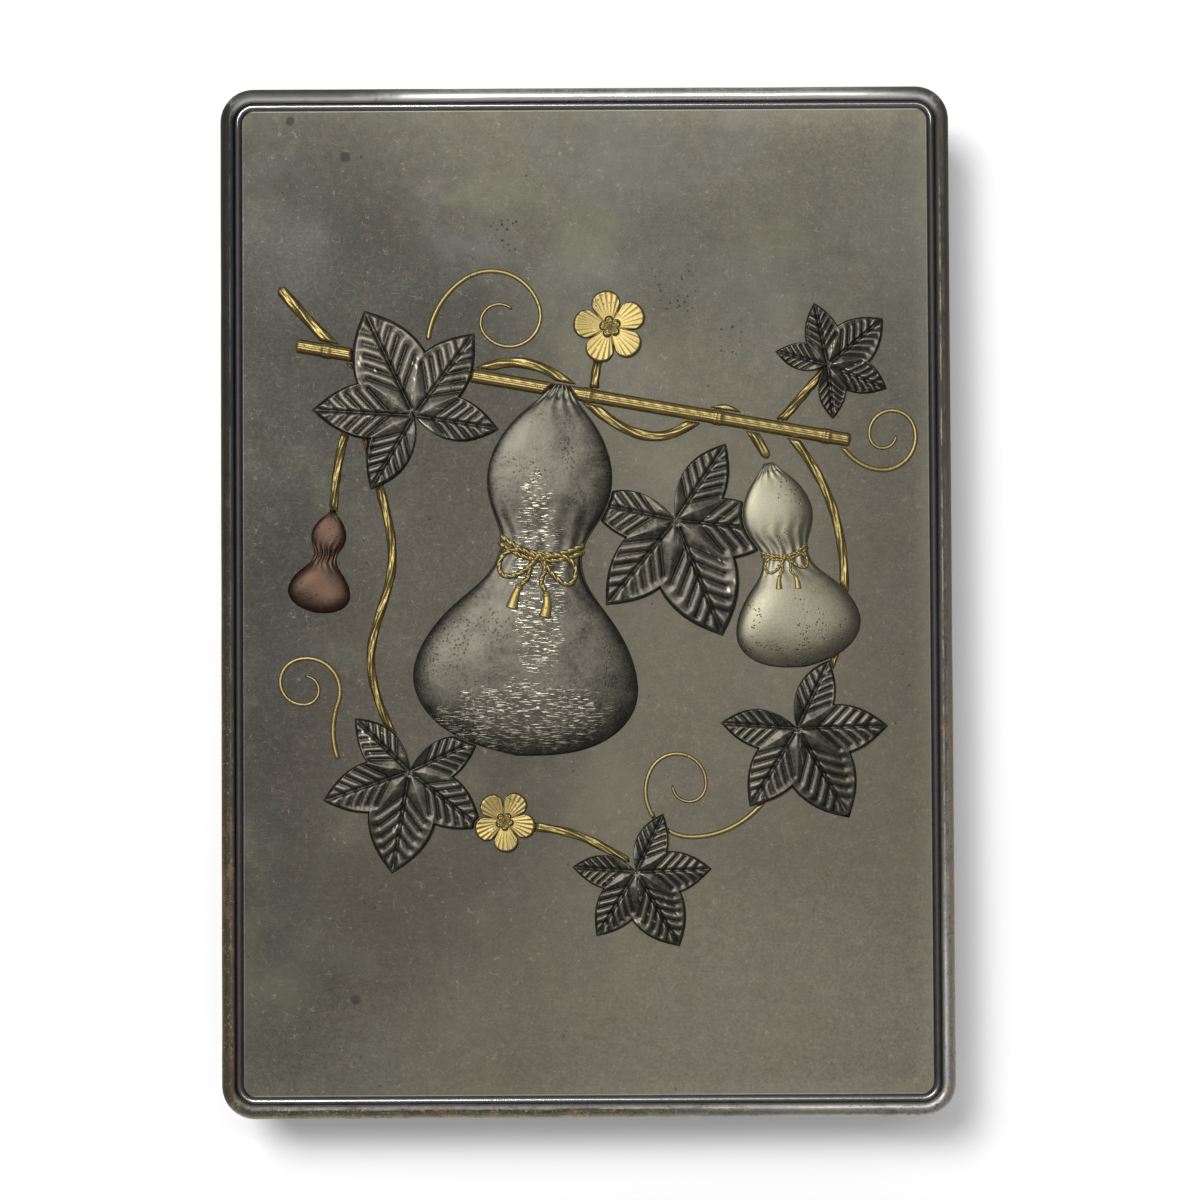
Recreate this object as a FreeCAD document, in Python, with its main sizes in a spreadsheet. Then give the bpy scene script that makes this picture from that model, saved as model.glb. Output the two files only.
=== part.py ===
"""A Japanese writing box (suzuribako) with its fittings, as a parametric FreeCAD document.

A flush-lidded lacquered wood box with silver edgings. A patinated metal plate lies in the lid between a
silver rim and a black bead, and carries a raised inlay of gourds hanging from a bamboo bar. Inside are a
fitted board with the ink stone, water dropper and ink stick, and two lift-out trays with the brushes,
paper knife and awl.

Frame: millimetres, +Z up, origin on the table under the middle of the box. +Y is the far side, where the
ink stone's pond lies, and +X is the right-hand side.
"""

import FreeCAD, Part
import math
import os

import Sketcher
from FreeCAD import Matrix, Placement, Rotation, Vector

# ---------------------------------------------------------------------------------------------------
# Driving dimensions
# ---------------------------------------------------------------------------------------------------

SIZES = [
    # The box and lid in plan
    ("lid_width", 176.0, "over the silver rim, across X"),
    ("lid_length", 248.0, "over the silver rim, along Y"),
    ("corner", 8.0, "corner radius of the rim, seen from above"),
    ("least_corner", 1.0, "smallest corner radius of any plan inside the rim"),
    ("rim_overhang", 0.3, "how far the silver edgings stand proud of the wood walls"),
    ("wall", 5.0, "thickness of the box walls"),
    ("lid_fit", 0.3, "gap between the lid walls and the lip they slide over"),
    ("lip", 2.0, "thickness of the inner lip"),
    # Heights
    ("foot_height", 2.0, "foot rim"),
    ("foot_inset", 1.2, "how far the foot rim stands in from the walls"),
    ("foot_width", 7.0, "width of the foot rim's face"),
    ("foot_edge", 0.6, "radius round the foot's lower edge"),
    ("wall_edge", 1.5, "radius round the box walls' lower edge"),
    ("floor", 4.5, "thickness of the floor board"),
    ("mouth", 30.0, "height of the joint between box and lid"),
    ("band", 1.2, "height of each silver mouth band"),
    ("band_edge", 0.4, "radius round the mouth bands' outer edges"),
    ("lip_rise", 5.0, "how far the lip stands above the mouth"),
    ("lip_edge", 0.7, "radius along the lip's top"),
    ("lid_wall_height", 11.0, "from the mouth to the top of the lid walls"),
    ("lid_board", 4.2, "thickness of the board that closes the lid"),
    # The lid's face
    ("rim_width", 3.2, "silver rim, seen from above"),
    ("rim_height", 4.6, "silver rim, above the lid walls"),
    ("rim_roll", 2.2, "radius of the rim's outer shoulder"),
    ("rim_inner_roll", 0.8, "radius of the rim's inner shoulder"),
    ("bead_width", 1.75, "black bead between rim and plate"),
    ("bead_height", 2.3, "black bead, above the lid walls"),
    ("bead_roll", 0.75, "radius of the bead's shoulders"),
    ("plate_gap", 0.1, "gap between bead and plate"),
    ("plate", 1.6, "thickness of the metal plate"),
    ("plate_edge", 0.25, "bevel round the metal plate"),
    # The fitted board
    ("fit_gap", 0.3, "gap round each piece that lifts out"),
    ("fitted_board", 7.0, "thickness of the fitted board"),
    ("board_margin", 13.0, "from the board's ends to the stone and the dropper"),
    ("seat_rim", 1.2, "least wood left beside a seat, at the board's sides"),
    ("finger_radius", 9.0, "finger notches beside the stone"),
    ("finger_rim", 1.5, "wood left between a finger notch and the board's side"),
    # Ink stone
    ("stone_width", 64.0, "ink stone, across X"),
    ("stone_length", 124.0, "ink stone, along Y"),
    ("stone_height", 13.0, "ink stone"),
    ("stone_corner", 5.0, "ink stone's corner radius"),
    ("stone_edge", 0.9, "radius round the ink stone's top"),
    ("stone_border", 4.5, "raised edge round the grinding face"),
    ("land_depth", 1.6, "grinding face, below the edge"),
    ("pond_depth", 7.5, "floor of the ink pond, below the edge"),
    ("pond_floor", 15.0, "ink pond's floor, along Y"),
    ("pond_slope", 14.0, "slope from the grinding face to the pond, along Y"),
    ("pond_inset", 1.0, "how far the pond stands in from the raised edge"),
    # Water dropper
    ("dropper_radius", 21.0, "water dropper"),
    ("dropper_height", 12.0, "water dropper's cup"),
    ("dropper_shell", 1.0, "water dropper's wall"),
    ("dropper_edge", 1.5, "radius round the water dropper's foot"),
    ("dropper_dome", 2.2, "rise of the water dropper's cover"),
    ("vent_radius", 1.2, "vent hole at the middle of the cover"),
    ("spout_radius", 1.6, "pouring hole near the cover's edge"),
    ("spout_offset", 14.0, "from the vent to the pouring hole"),
    # Ink stick
    ("stick_length", 78.0, "ink stick, across X"),
    ("stick_width", 20.0, "ink stick, along Y"),
    ("stick_height", 9.0, "ink stick"),
    ("stick_corner", 3.0, "ink stick's corner radius"),
    ("stick_edge", 1.2, "radius round the ink stick's top and bottom"),
    ("stick_border", 4.0, "raised border round the ink stick's panel"),
    ("stick_panel_depth", 0.5, "ink stick's panel, below its border"),
    ("stick_sink", 3.0, "depth of its recess in the fitted board"),
    # Trays
    ("tray_width", 37.0, "each tray, across X"),
    ("tray_height", 16.0, "each tray"),
    ("tray_wall", 2.2, "tray frame"),
    ("tray_floor", 2.0, "tray floor"),
    ("tray_corner", 2.5, "tray's corner radius"),
    ("scallop_radius", 22.0, "hand hold cut in a tray's long sides"),
    ("scallop_depth", 5.0, "hand hold, below the tray's edge"),
    ("rest_height", 6.5, "tool rests, above the tray floor"),
    ("rest_thickness", 5.0, "tool rests, along Y"),
    ("rest_front", -62.0, "place of the front rests along Y"),
    ("rest_back", 22.0, "place of the back rests along Y"),
    # Tools, which lie along Y in the trays
    ("tool_offset", 8.0, "each tool's axis, from the middle of its tray"),
    ("tool_start", -92.0, "where the tools' handles start along Y"),
    ("tool_gap", 0.3, "gap between a tool and the notch that it lies in"),
    ("collar", 7.0, "length of each tool's silver collar"),
    ("collar_taper", 0.5, "how much thinner a collar is at its far end"),
    ("large_brush_radius", 4.0, "large brush, handle"),
    ("large_brush_handle", 148.0, "large brush, length of the handle"),
    ("large_brush_hair", 29.0, "large brush, length of the hair"),
    ("small_brush_radius", 3.3, "small brush, handle"),
    ("small_brush_handle", 156.0, "small brush, length of the handle"),
    ("small_brush_hair", 24.0, "small brush, length of the hair"),
    ("knife_radius", 4.0, "paper knife, handle"),
    ("knife_handle", 118.0, "paper knife, length of the handle"),
    ("knife_blade", 55.0, "paper knife, length of the blade"),
    ("blade_width", 7.0, "paper knife, width of the blade"),
    ("blade_thickness", 1.4, "paper knife, thickness of the blade"),
    ("awl_radius", 3.5, "paper awl, handle"),
    ("awl_handle", 118.0, "paper awl, length of the handle"),
    ("awl_spike", 54.0, "paper awl, length of the spike"),
    ("spike_radius", 1.5, "paper awl, spike at the collar"),
    # The raised inlay on the plate
    ("gourd_relief", 3.0, "large gourd, above the plate"),
    ("small_gourd_relief", 2.5, "small gourd, above the plate"),
    ("young_gourd_relief", 1.8, "young gourd, above the plate"),
    ("leaf_relief", 1.9, "leaves at their middle, above the plate"),
    ("leaf_edge", 0.7, "leaves at their edge, above the plate"),
    ("flower_relief", 1.4, "flowers at their middle, above the plate"),
    ("flower_edge", 0.8, "flowers at their edge, above the plate"),
    ("flower_boss", 2.1, "middle of each flower, above the plate"),
    ("bar_radius", 1.8, "half-round bamboo bar"),
    ("bar_ring", 0.35, "how far the rings stand out from the bar"),
    ("bar_ring_width", 1.5, "rings, along the bar"),
    ("vine_radius", 1.3, "half-round main vine"),
    ("branch_radius", 1.1, "half-round branches of the vine"),
    ("tendril_radius", 0.6, "half-round tendrils"),
]


class Size:
    """A length in mm that also knows the spreadsheet expression it comes from."""

    def __init__(self, value, text):
        self.value = float(value)
        self.text = text

    def __add__(self, other):
        other = as_size(other)
        return Size(self.value + other.value, f"({self.text} + {other.text})")

    def __sub__(self, other):
        other = as_size(other)
        return Size(self.value - other.value, f"({self.text} - {other.text})")

    def __mul__(self, other):
        other = as_size(other)
        return Size(self.value * other.value, f"({self.text} * {other.text})")

    def __truediv__(self, other):
        other = as_size(other)
        return Size(self.value / other.value, f"({self.text} / {other.text})")

    def __neg__(self):
        return Size(-self.value, f"(0 - {self.text})")

    __radd__ = __add__
    __rmul__ = __mul__


def as_size(number):
    return number if isinstance(number, Size) else Size(number, repr(float(number)))


def larger(one, other):
    one, other = as_size(one), as_size(other)
    return Size(max(one.value, other.value), f"max({one.text}; {other.text})")


def smaller(one, other):
    one, other = as_size(one), as_size(other)
    return Size(min(one.value, other.value), f"min({one.text}; {other.text})")


doc = FreeCAD.newDocument("WritingBox")
sheet = doc.addObject("Spreadsheet::Sheet", "Sizes")


class Sizes:
    """The spreadsheet's cells by their aliases: size.wall is the wall's Size."""


size = Sizes()
for row, (alias, value, note) in enumerate(SIZES, 1):
    sheet.set(f"A{row}", alias)
    sheet.set(f"B{row}", str(value))
    sheet.set(f"C{row}", note)
    sheet.setAlias(f"B{row}", alias)
    setattr(size, alias, Size(value, f"Sizes.{alias}"))
doc.recompute()

subparts = []  # every object whose shape is written to a file, named by its Label
PAST = 1.0  # how far a cutting shape reaches past what it cuts
END_SHARE = 0.32  # largest share of the fitted board's spare length that one end margin takes


def bind(thing, **properties):
    """Binds the properties of a document object to sizes."""
    for name, length in properties.items():
        thing.setExpression(name.replace("__", "."), as_size(length).text)


def place(thing, x=0, y=0, z=0):
    """Binds a document object's position."""
    bind(thing, Placement__Base__x=x, Placement__Base__y=y, Placement__Base__z=z)


# ---------------------------------------------------------------------------------------------------
# Plans: the rounded rectangles that the box is built from
# ---------------------------------------------------------------------------------------------------


class Plan:
    """A rounded rectangle seen from above."""

    def __init__(self, width, length, corner):
        self.width = width
        self.length = length
        self.corner = corner

    def inset(self, gap):
        corner = larger(self.corner - gap, size.least_corner)
        return Plan(self.width - 2 * gap, self.length - 2 * gap, corner)


def name_constraint(sketch, name, constraint, length):
    """Adds a dimension to a sketch and binds it to a size."""
    index = sketch.addConstraint(constraint)
    sketch.renameConstraint(index, name)
    sketch.setExpression(f"Constraints.{name}", length.text)


def draw_plan(sketch, plan, prefix):
    """A rounded rectangle, centred on the sketch's origin."""
    r = plan.corner.value
    x, y = plan.width.value / 2, plan.length.value / 2
    first = sketch.GeometryCount
    corners = [(x - r, y - r), (r - x, y - r), (r - x, r - y), (x - r, r - y)]
    for turn, (cx, cy) in enumerate(corners):
        circle = Part.Circle(Vector(cx, cy, 0), Vector(0, 0, 1), r)
        sketch.addGeometry(Part.ArcOfCircle(circle, turn * math.pi / 2, (turn + 1) * math.pi / 2))
    for turn in range(4):
        start = sketch.getPoint(first + turn, 2)
        end = sketch.getPoint(first + (turn + 1) % 4, 1)
        sketch.addGeometry(Part.LineSegment(start, end))
    for turn in range(4):
        line = first + 4 + turn
        sketch.addConstraint(Sketcher.Constraint("Tangent", first + turn, 2, line, 1))
        sketch.addConstraint(Sketcher.Constraint("Tangent", line, 2, first + (turn + 1) % 4, 1))
        sketch.addConstraint(Sketcher.Constraint("Vertical" if turn % 2 else "Horizontal", line))
    for turn in range(1, 4):
        sketch.addConstraint(Sketcher.Constraint("Equal", first, first + turn))
    sketch.addConstraint(Sketcher.Constraint("Symmetric", first, 3, first + 2, 3, -1, 1))
    radius = Sketcher.Constraint("Radius", first, r)
    across = Sketcher.Constraint("DistanceX", first + 2, 3, first, 3, 2 * (x - r))
    along = Sketcher.Constraint("DistanceY", first + 2, 3, first, 3, 2 * (y - r))
    name_constraint(sketch, prefix + "_corner", radius, plan.corner)
    name_constraint(sketch, prefix + "_width", across, plan.width - 2 * plan.corner)
    name_constraint(sketch, prefix + "_length", along, plan.length - 2 * plan.corner)


def draw_circle(sketch, x, y, radius, prefix):
    """A circle at a bound place and radius."""
    index = sketch.addGeometry(Part.Circle(Vector(x.value, y.value, 0), Vector(0, 0, 1), radius.value))
    name_constraint(sketch, prefix + "_radius", Sketcher.Constraint("Radius", index, radius.value), radius)
    for word, direction, length in (("_x", "DistanceX", x), ("_y", "DistanceY", y)):
        if length.value == 0:
            axis = -2 if direction == "DistanceX" else -1
            sketch.addConstraint(Sketcher.Constraint("PointOnObject", index, 3, axis))
        else:
            held = Sketcher.Constraint(direction, -1, 1, index, 3, length.value)
            name_constraint(sketch, prefix + word, held, length)


def arc_between(start, end, bow):
    """An arc of radius bow that bows out to the right of the way from start to end, or to its left
    where bow is minus."""
    chord = end - start
    aside = Vector(-chord.y, chord.x, 0).normalize() * math.copysign(1, bow)
    middle = (start + end) / 2
    centre = middle + aside * math.sqrt(bow * bow - (chord.Length / 2) ** 2)
    return Part.Arc(start, centre - aside * abs(bow), end)


def draw_outline(sketch, corners, prefix):
    """A closed outline through bound corners. A straight side starts at an (x, y) corner, and an arc at
    an (x, y, bow) one, as in arc_between."""
    corners = [[as_size(number) for number in corner] for corner in corners]
    first = sketch.GeometryCount
    count = len(corners)
    starts = []
    for index, (x, y, *bow) in enumerate(corners):
        next_x, next_y, *_ = corners[(index + 1) % count]
        start, end = Vector(x.value, y.value, 0), Vector(next_x.value, next_y.value, 0)
        side = arc_between(start, end, bow[0].value) if bow else Part.LineSegment(start, end)
        sketch.addGeometry(side)
        # A sketch runs every arc anticlockwise, so one that bows to the left is held by its other end.
        starts.append(2 if bow and bow[0].value < 0 else 1)
    for index, (x, y, *bow) in enumerate(corners):
        side, start = first + index, starts[index]
        following = (index + 1) % count
        ends = (side, 3 - start, first + following, starts[following])
        sketch.addConstraint(Sketcher.Constraint("Coincident", *ends))
        for word, direction, length in (("x", "DistanceX", x), ("y", "DistanceY", y)):
            if length.value == 0:
                axis = -2 if direction == "DistanceX" else -1
                sketch.addConstraint(Sketcher.Constraint("PointOnObject", side, start, axis))
            else:
                held = Sketcher.Constraint(direction, -1, 1, side, start, length.value)
                name_constraint(sketch, f"{prefix}_{word}{index}", held, length)
        if bow:
            radius = bow[0] if bow[0].value > 0 else -bow[0]
            held = Sketcher.Constraint("Radius", side, radius.value)
            name_constraint(sketch, f"{prefix}_radius{index}", held, radius)


def bend(across, along):
    """The radius of an arc that starts straight ahead and comes to lie across by the time it is along."""
    return (across * across + along * along) / (2 * across)


# ---------------------------------------------------------------------------------------------------
# Bodies
# ---------------------------------------------------------------------------------------------------


class Piece:
    """A PartDesign body and the features that make it, in order."""

    def __init__(self, label, x=0, y=0, z=0, kept=True):
        self.body = doc.addObject("PartDesign::Body", label)
        self.body.Label = label
        place(self.body, x, y, z)
        if kept:
            subparts.append(self.body)

    def sketch(self, plane="XY_Plane", height=0):
        """A sketch on one of the body's origin planes, lifted along the plane's normal."""
        sketch = self.body.newObject("Sketcher::SketchObject", self.body.Label + "_sketch")
        origin = [f for f in self.body.Origin.OriginFeatures if f.Role == plane]
        sketch.AttachmentSupport = [(origin[0], "")]
        sketch.MapMode = "FlatFace"
        bind(sketch, AttachmentOffset__Base__z=height)
        return sketch

    def pad(self, sketch, height, symmetric=False):
        pad = self.body.newObject("PartDesign::Pad", self.body.Label + "_pad")
        pad.Profile = sketch
        pad.SideType = "Symmetric" if symmetric else "One side"
        bind(pad, Length=height)
        return self.done(pad)

    def pocket(self, sketch, depth=None, symmetric=False):
        """Cuts a sketch downwards into the body, to a depth or right through."""
        before = self.body.Shape.Volume
        pocket = self.body.newObject("PartDesign::Pocket", self.body.Label + "_pocket")
        pocket.Profile = sketch
        pocket.SideType = "Symmetric" if symmetric else "One side"
        if depth is None:
            pocket.Type = "ThroughAll"
        else:
            bind(pocket, Length=depth)
        self.done(pocket)
        if self.body.Shape.Volume > before - 0.1:
            raise RuntimeError(f"a pocket in {self.body.Label} cuts nothing")
        return pocket

    def revolve(self, sketch, axis="V_Axis"):
        turned = self.body.newObject("PartDesign::Revolution", self.body.Label + "_turned")
        turned.Profile = sketch
        turned.ReferenceAxis = (sketch, [axis])
        return self.done(turned)

    def fillet(self, edges, radius, kind="Fillet"):
        """Rounds or chamfers the edges that the function edges picks from the body's shape."""
        base = self.body.Tip
        names = edges(base.Shape)
        feature = self.body.newObject("PartDesign::" + kind, self.body.Label + "_edge")
        feature.Base = (base, names)
        bind(feature, **{"Radius" if kind == "Fillet" else "Size": radius})
        return self.done(feature)

    def done(self, feature):
        self.body.Tip = feature
        doc.recompute()
        return feature


def names_of(shape, chosen):
    """The names, in a shape, of the edges that are also in chosen."""
    return [f"Edge{i}" for i, edge in enumerate(shape.Edges, 1) if any(edge.isSame(c) for c in chosen)]


def level_face(shape, top=True):
    """The highest or lowest horizontal face of a shape."""
    planes = [f for f in shape.Faces if f.Surface.TypeId == "Part::GeomPlane"]
    flat = [f for f in planes if abs(f.Surface.Axis.z) > 0.99]
    return (max if top else min)(flat, key=lambda f: f.CenterOfMass.z)


def outer_top(shape):
    return names_of(shape, level_face(shape).OuterWire.Edges)


def inner_top(shape):
    face = level_face(shape)
    inner = [w for w in face.Wires if not w.isSame(face.OuterWire)]
    return names_of(shape, [e for w in inner for e in w.Edges])


def all_top(shape):
    return names_of(shape, level_face(shape).Edges)


def outer_bottom(shape):
    return names_of(shape, level_face(shape, top=False).OuterWire.Edges)


def slab(label, plan, bottom, height):
    """A flat board in a plan's shape."""
    piece = Piece(label, z=bottom)
    sketch = piece.sketch()
    draw_plan(sketch, plan, "outline")
    piece.pad(sketch, height)
    return piece


def ring(label, outer, inner, bottom, height, kept=True):
    """A ring between two plans."""
    piece = Piece(label, z=bottom, kept=kept)
    sketch = piece.sketch()
    draw_plan(sketch, outer, "outer")
    draw_plan(sketch, inner, "inner")
    piece.pad(sketch, height)
    return piece


def mitred_boards(prefix, source, outer, depth, bottom, height):
    """Cuts a ring into its front, right, back and left boards along 45 degree mitres."""
    sides = [("front", 0, False), ("right", 90, True), ("back", 180, False), ("left", 270, True)]
    for side, angle, turned in sides:
        across, along = (outer.length, outer.width) if turned else (outer.width, outer.length)
        wedge = doc.addObject("Part::Wedge", f"{prefix}_{side}_mitre")
        bind(
            wedge,
            Xmin=-across / 2,
            Xmax=across / 2,
            X2min=depth - across / 2,
            X2max=across / 2 - depth,
            Ymin=-along / 2,
            Ymax=depth - along / 2,
            Zmin=0,
            Z2min=0,
            Zmax=height,
            Z2max=height,
        )
        wedge.Placement = Placement(Vector(0, 0, bottom.value), Rotation(Vector(0, 0, 1), angle))
        bind(wedge, Placement__Base__z=bottom)
        board = doc.addObject("Part::Common", f"{prefix}_{side}")
        board.Label = f"{prefix}_{side}"
        board.Base = source.body
        board.Tool = wedge
        subparts.append(board)


def shaped(label, solids):
    """A sub-part of the inlay, from solids made on the plane Z = 0, laid on the plate."""
    feature = doc.addObject("Part::Feature", label)
    feature.Label = label
    feature.Shape = solids[0] if len(solids) == 1 else Part.makeCompound(solids)
    bind(feature, Placement__Base__z=plate_top)
    subparts.append(feature)


# ---------------------------------------------------------------------------------------------------
# Levels and plans that several pieces share
# ---------------------------------------------------------------------------------------------------

outline = Plan(size.lid_width, size.lid_length, size.corner)
wall_outside = outline.inset(size.rim_overhang)
box_inside = wall_outside.inset(size.wall)
lid_inside = box_inside.inset(-size.lid_fit)
lip_inside = box_inside.inset(size.lip)
rim_inside = outline.inset(size.rim_width)
bead_inside = rim_inside.inset(size.bead_width)

floor_top = size.foot_height + size.floor
lid_top = size.mouth + size.lid_wall_height
plate_top = lid_top + size.plate
plate_outline = bead_inside.inset(size.plate_gap)

# The trays give way where the stone or the stick needs more of the board between them.
tray_length = lip_inside.length - 2 * size.fit_gap
least_board = larger(size.stone_width, size.stick_length) + 2 * size.fit_gap + 2 * size.seat_rim
tray_width = smaller(size.tray_width, (lip_inside.width - least_board) / 2 - 2 * size.fit_gap)
board_width = lip_inside.width - 2 * tray_width - 4 * size.fit_gap
tray_centre = lip_inside.width / 2 - size.fit_gap - tray_width / 2

board_spare = tray_length - size.stone_length - size.stick_width - 2 * size.dropper_radius
board_margin = smaller(size.board_margin, END_SHARE * board_spare)
stone_y = board_margin + size.stone_length / 2 - tray_length / 2
dropper_y = tray_length / 2 - board_margin - size.dropper_radius
stick_y = (stone_y + size.stone_length / 2 + dropper_y - size.dropper_radius) / 2


# ---------------------------------------------------------------------------------------------------
# The box
# ---------------------------------------------------------------------------------------------------


def make_box():
    foot_outside = wall_outside.inset(size.foot_inset)
    foot_inside = foot_outside.inset(size.foot_width)
    ground = as_size(0)
    foot = ring("box_foot_stock", foot_outside, foot_inside, ground, size.foot_height, kept=False)
    foot.fillet(outer_bottom, smaller(size.foot_edge, size.foot_height / 3))
    mitred_boards("box_foot", foot, foot_outside, 2 * size.foot_width, ground, size.foot_height)

    slab("box_floor", box_inside, size.foot_height, size.floor)

    wall_height = size.mouth - size.band - size.foot_height
    walls = ring(
        "box_wall_stock", wall_outside, box_inside, size.foot_height, wall_height, kept=False
    )
    walls.fillet(outer_bottom, smaller(size.wall_edge, size.wall / 3))
    mitred_boards("box_wall", walls, wall_outside, 2 * size.wall, size.foot_height, wall_height)

    band = ring("box_mouth_band", outline, box_inside, size.mouth - size.band, size.band)
    band.fillet(outer_bottom, smaller(size.band_edge, size.band / 3))

    lip_height = size.mouth + size.lip_rise - floor_top
    lip = ring("box_lip_stock", box_inside, lip_inside, floor_top, lip_height, kept=False)
    lip.fillet(all_top, smaller(size.lip_edge, size.lip / 3))
    mitred_boards("box_lip", lip, box_inside, 2 * size.lip, floor_top, lip_height)


# ---------------------------------------------------------------------------------------------------
# The lid
# ---------------------------------------------------------------------------------------------------


def make_lid():
    bottom = size.mouth + size.band
    wall_height = size.lid_wall_height - size.band
    walls = ring("lid_wall_stock", wall_outside, lid_inside, bottom, wall_height, kept=False)
    mitred_boards("lid_wall", walls, wall_outside, 2 * size.wall, bottom, wall_height)

    band = ring("lid_mouth_band", outline, lid_inside, size.mouth, size.band)
    band.fillet(outer_top, smaller(size.band_edge, size.band / 3))

    slab("lid_board", lid_inside, lid_top - size.lid_board, size.lid_board)

    rim = ring("lid_rim", outline, rim_inside, lid_top, size.rim_height)
    rim.fillet(outer_top, smaller(size.rim_roll, 0.7 * size.rim_width))
    rim.fillet(inner_top, smaller(size.rim_inner_roll, 0.25 * size.rim_width))

    bead_edge = rim_inside.inset(size.plate_gap / 2)
    bead = ring("lid_bead", bead_edge, bead_inside, lid_top, size.bead_height)
    bead.fillet(all_top, smaller(size.bead_roll, 0.44 * size.bead_width))

    plate = slab("lid_plate", plate_outline, lid_top, size.plate)
    plate.fillet(all_top, smaller(size.plate_edge, size.plate / 4), "Chamfer")


# ---------------------------------------------------------------------------------------------------
# The fitted board, ink stone, water dropper and ink stick
# ---------------------------------------------------------------------------------------------------


def make_fitted_board():
    board = slab(
        "fitted_board", Plan(board_width, tray_length, size.least_corner), floor_top, size.fitted_board
    )
    through = board.sketch(height=size.fitted_board)
    stone_seat = Plan(
        size.stone_width + 2 * size.fit_gap,
        size.stone_length + 2 * size.fit_gap,
        size.stone_corner + size.fit_gap,
    )
    draw_plan(through, stone_seat, "stone")
    bind(through, AttachmentOffset__Base__y=stone_y)
    board.pocket(through)

    notches = board.sketch(height=size.fitted_board)
    notch_x = board_width / 2 - size.finger_rim - size.finger_radius
    for side, x in (("left", -notch_x), ("right", notch_x)):
        draw_circle(notches, x, stone_y, size.finger_radius, side)
    board.pocket(notches)

    well = board.sketch(height=size.fitted_board)
    draw_circle(well, as_size(0), dropper_y, size.dropper_radius + size.fit_gap, "dropper")
    board.pocket(well)

    recess = board.sketch(height=size.fitted_board)
    stick_seat = Plan(
        size.stick_length + 2 * size.fit_gap, size.stick_width + 2 * size.fit_gap, size.least_corner
    )
    draw_plan(recess, stick_seat, "stick")
    bind(recess, AttachmentOffset__Base__y=stick_y)
    board.pocket(recess, size.stick_sink)


def make_ink_stone():
    plan = Plan(size.stone_width, size.stone_length, size.stone_corner)
    stone = Piece("ink_stone", y=stone_y, z=floor_top)
    sketch = stone.sketch()
    draw_plan(sketch, plan, "outline")
    stone.pad(sketch, size.stone_height)
    stone.fillet(outer_top, smaller(size.stone_edge, size.stone_border / 4))

    land = stone.sketch(height=size.stone_height)
    draw_plan(land, plan.inset(size.stone_border), "land")
    stone.pocket(land, size.land_depth)

    far = size.stone_length / 2 - size.stone_border
    shore = far - size.pond_floor - size.pond_slope
    land_level = size.stone_height - size.land_depth
    pond_level = size.stone_height - size.pond_depth
    half_slope = size.pond_slope / 2
    half_drop = (size.pond_depth - size.land_depth) / 2
    slope = bend(half_drop, half_slope)
    pond = stone.sketch("YZ_Plane")
    draw_outline(
        pond,
        [
            (shore, land_level),
            (shore, size.stone_height + PAST),
            (far - size.pond_inset, size.stone_height + PAST),
            (far - size.pond_inset, pond_level),
            (far - size.pond_floor, pond_level, -slope),
            (shore + half_slope, pond_level + half_drop, slope),
        ],
        "pond",
    )
    pond_width = size.stone_width - 2 * size.stone_border - 2 * size.pond_inset
    stone.pocket(pond, pond_width, symmetric=True)


def make_water_dropper():
    """A round silver cup closed by a domed cover with a vent and a pouring hole."""
    radius, shell, height = size.dropper_radius, size.dropper_shell, size.dropper_height
    cup = Piece("dropper_cup", y=dropper_y, z=floor_top)
    section = cup.sketch("XZ_Plane")
    edge = size.dropper_edge
    cup_section = [
        (0, 0),
        (radius - edge, 0, edge),
        (radius, edge),
        (radius, height),
        (radius - shell, height),
        (radius - shell, shell + edge, -edge),
        (radius - shell - edge, shell),
        (0, shell),
    ]
    draw_outline(section, cup_section, "cup")
    cup.revolve(section)

    cover = Piece("dropper_cover", y=dropper_y, z=floor_top + height)
    section = cover.sketch("XZ_Plane")
    dome = size.dropper_dome
    ball = bend(dome, radius)
    dome_section = [(0, dome, -ball), (radius, 0), (radius, shell, ball), (0, dome + shell)]
    draw_outline(section, dome_section, "cover")
    cover.revolve(section)
    holes = cover.sketch(height=dome + 2 * shell)
    draw_circle(holes, as_size(0), as_size(0), size.vent_radius, "vent")
    draw_circle(holes, as_size(0), -size.spout_offset, size.spout_radius, "spout")
    cover.pocket(holes)


def make_ink_stick():
    stick = Piece("ink_stick", y=stick_y, z=floor_top + size.fitted_board - size.stick_sink)
    sketch = stick.sketch()
    plan = Plan(size.stick_length, size.stick_width, size.stick_corner)
    draw_plan(sketch, plan, "outline")
    stick.pad(sketch, size.stick_height)
    stick.fillet(all_top, smaller(size.stick_edge, size.stick_height / 4))
    stick.fillet(outer_bottom, smaller(size.stick_edge, size.stick_height / 4))
    panel = stick.sketch(height=size.stick_height)
    draw_plan(panel, plan.inset(size.stick_border), "panel")
    stick.pocket(panel, size.stick_panel_depth)


# ---------------------------------------------------------------------------------------------------
# Trays and the tools in them
# ---------------------------------------------------------------------------------------------------


BUTT = 0.6  # radius round a handle's butt, as a share of the handle's
HAIR_ROOT, HAIR_BELLY, HAIR_TIP = 0.86, 1.06, 0.06  # radii of the hair, as shares of its collar's end
BELLY_PLACE = 0.32  # where the hair is widest, as a share of its length
POINT_SLANT = 1.5  # how far the knife's point slants, in widths of the blade
POINT_BOW = 3  # radius of the knife's point, in widths of the blade
GROUND_WIDTH = 0.35  # how far the ground edge runs across the blade, as a share of its width
GROUND_DEPTH = 0.3  # what the ground edge leaves of half the blade's thickness
SPIKE_TIP = 0.1  # radius of the awl's tip, as a share of the spike's


def tool_axis_height():
    return floor_top + size.tray_floor + size.rest_height


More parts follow.
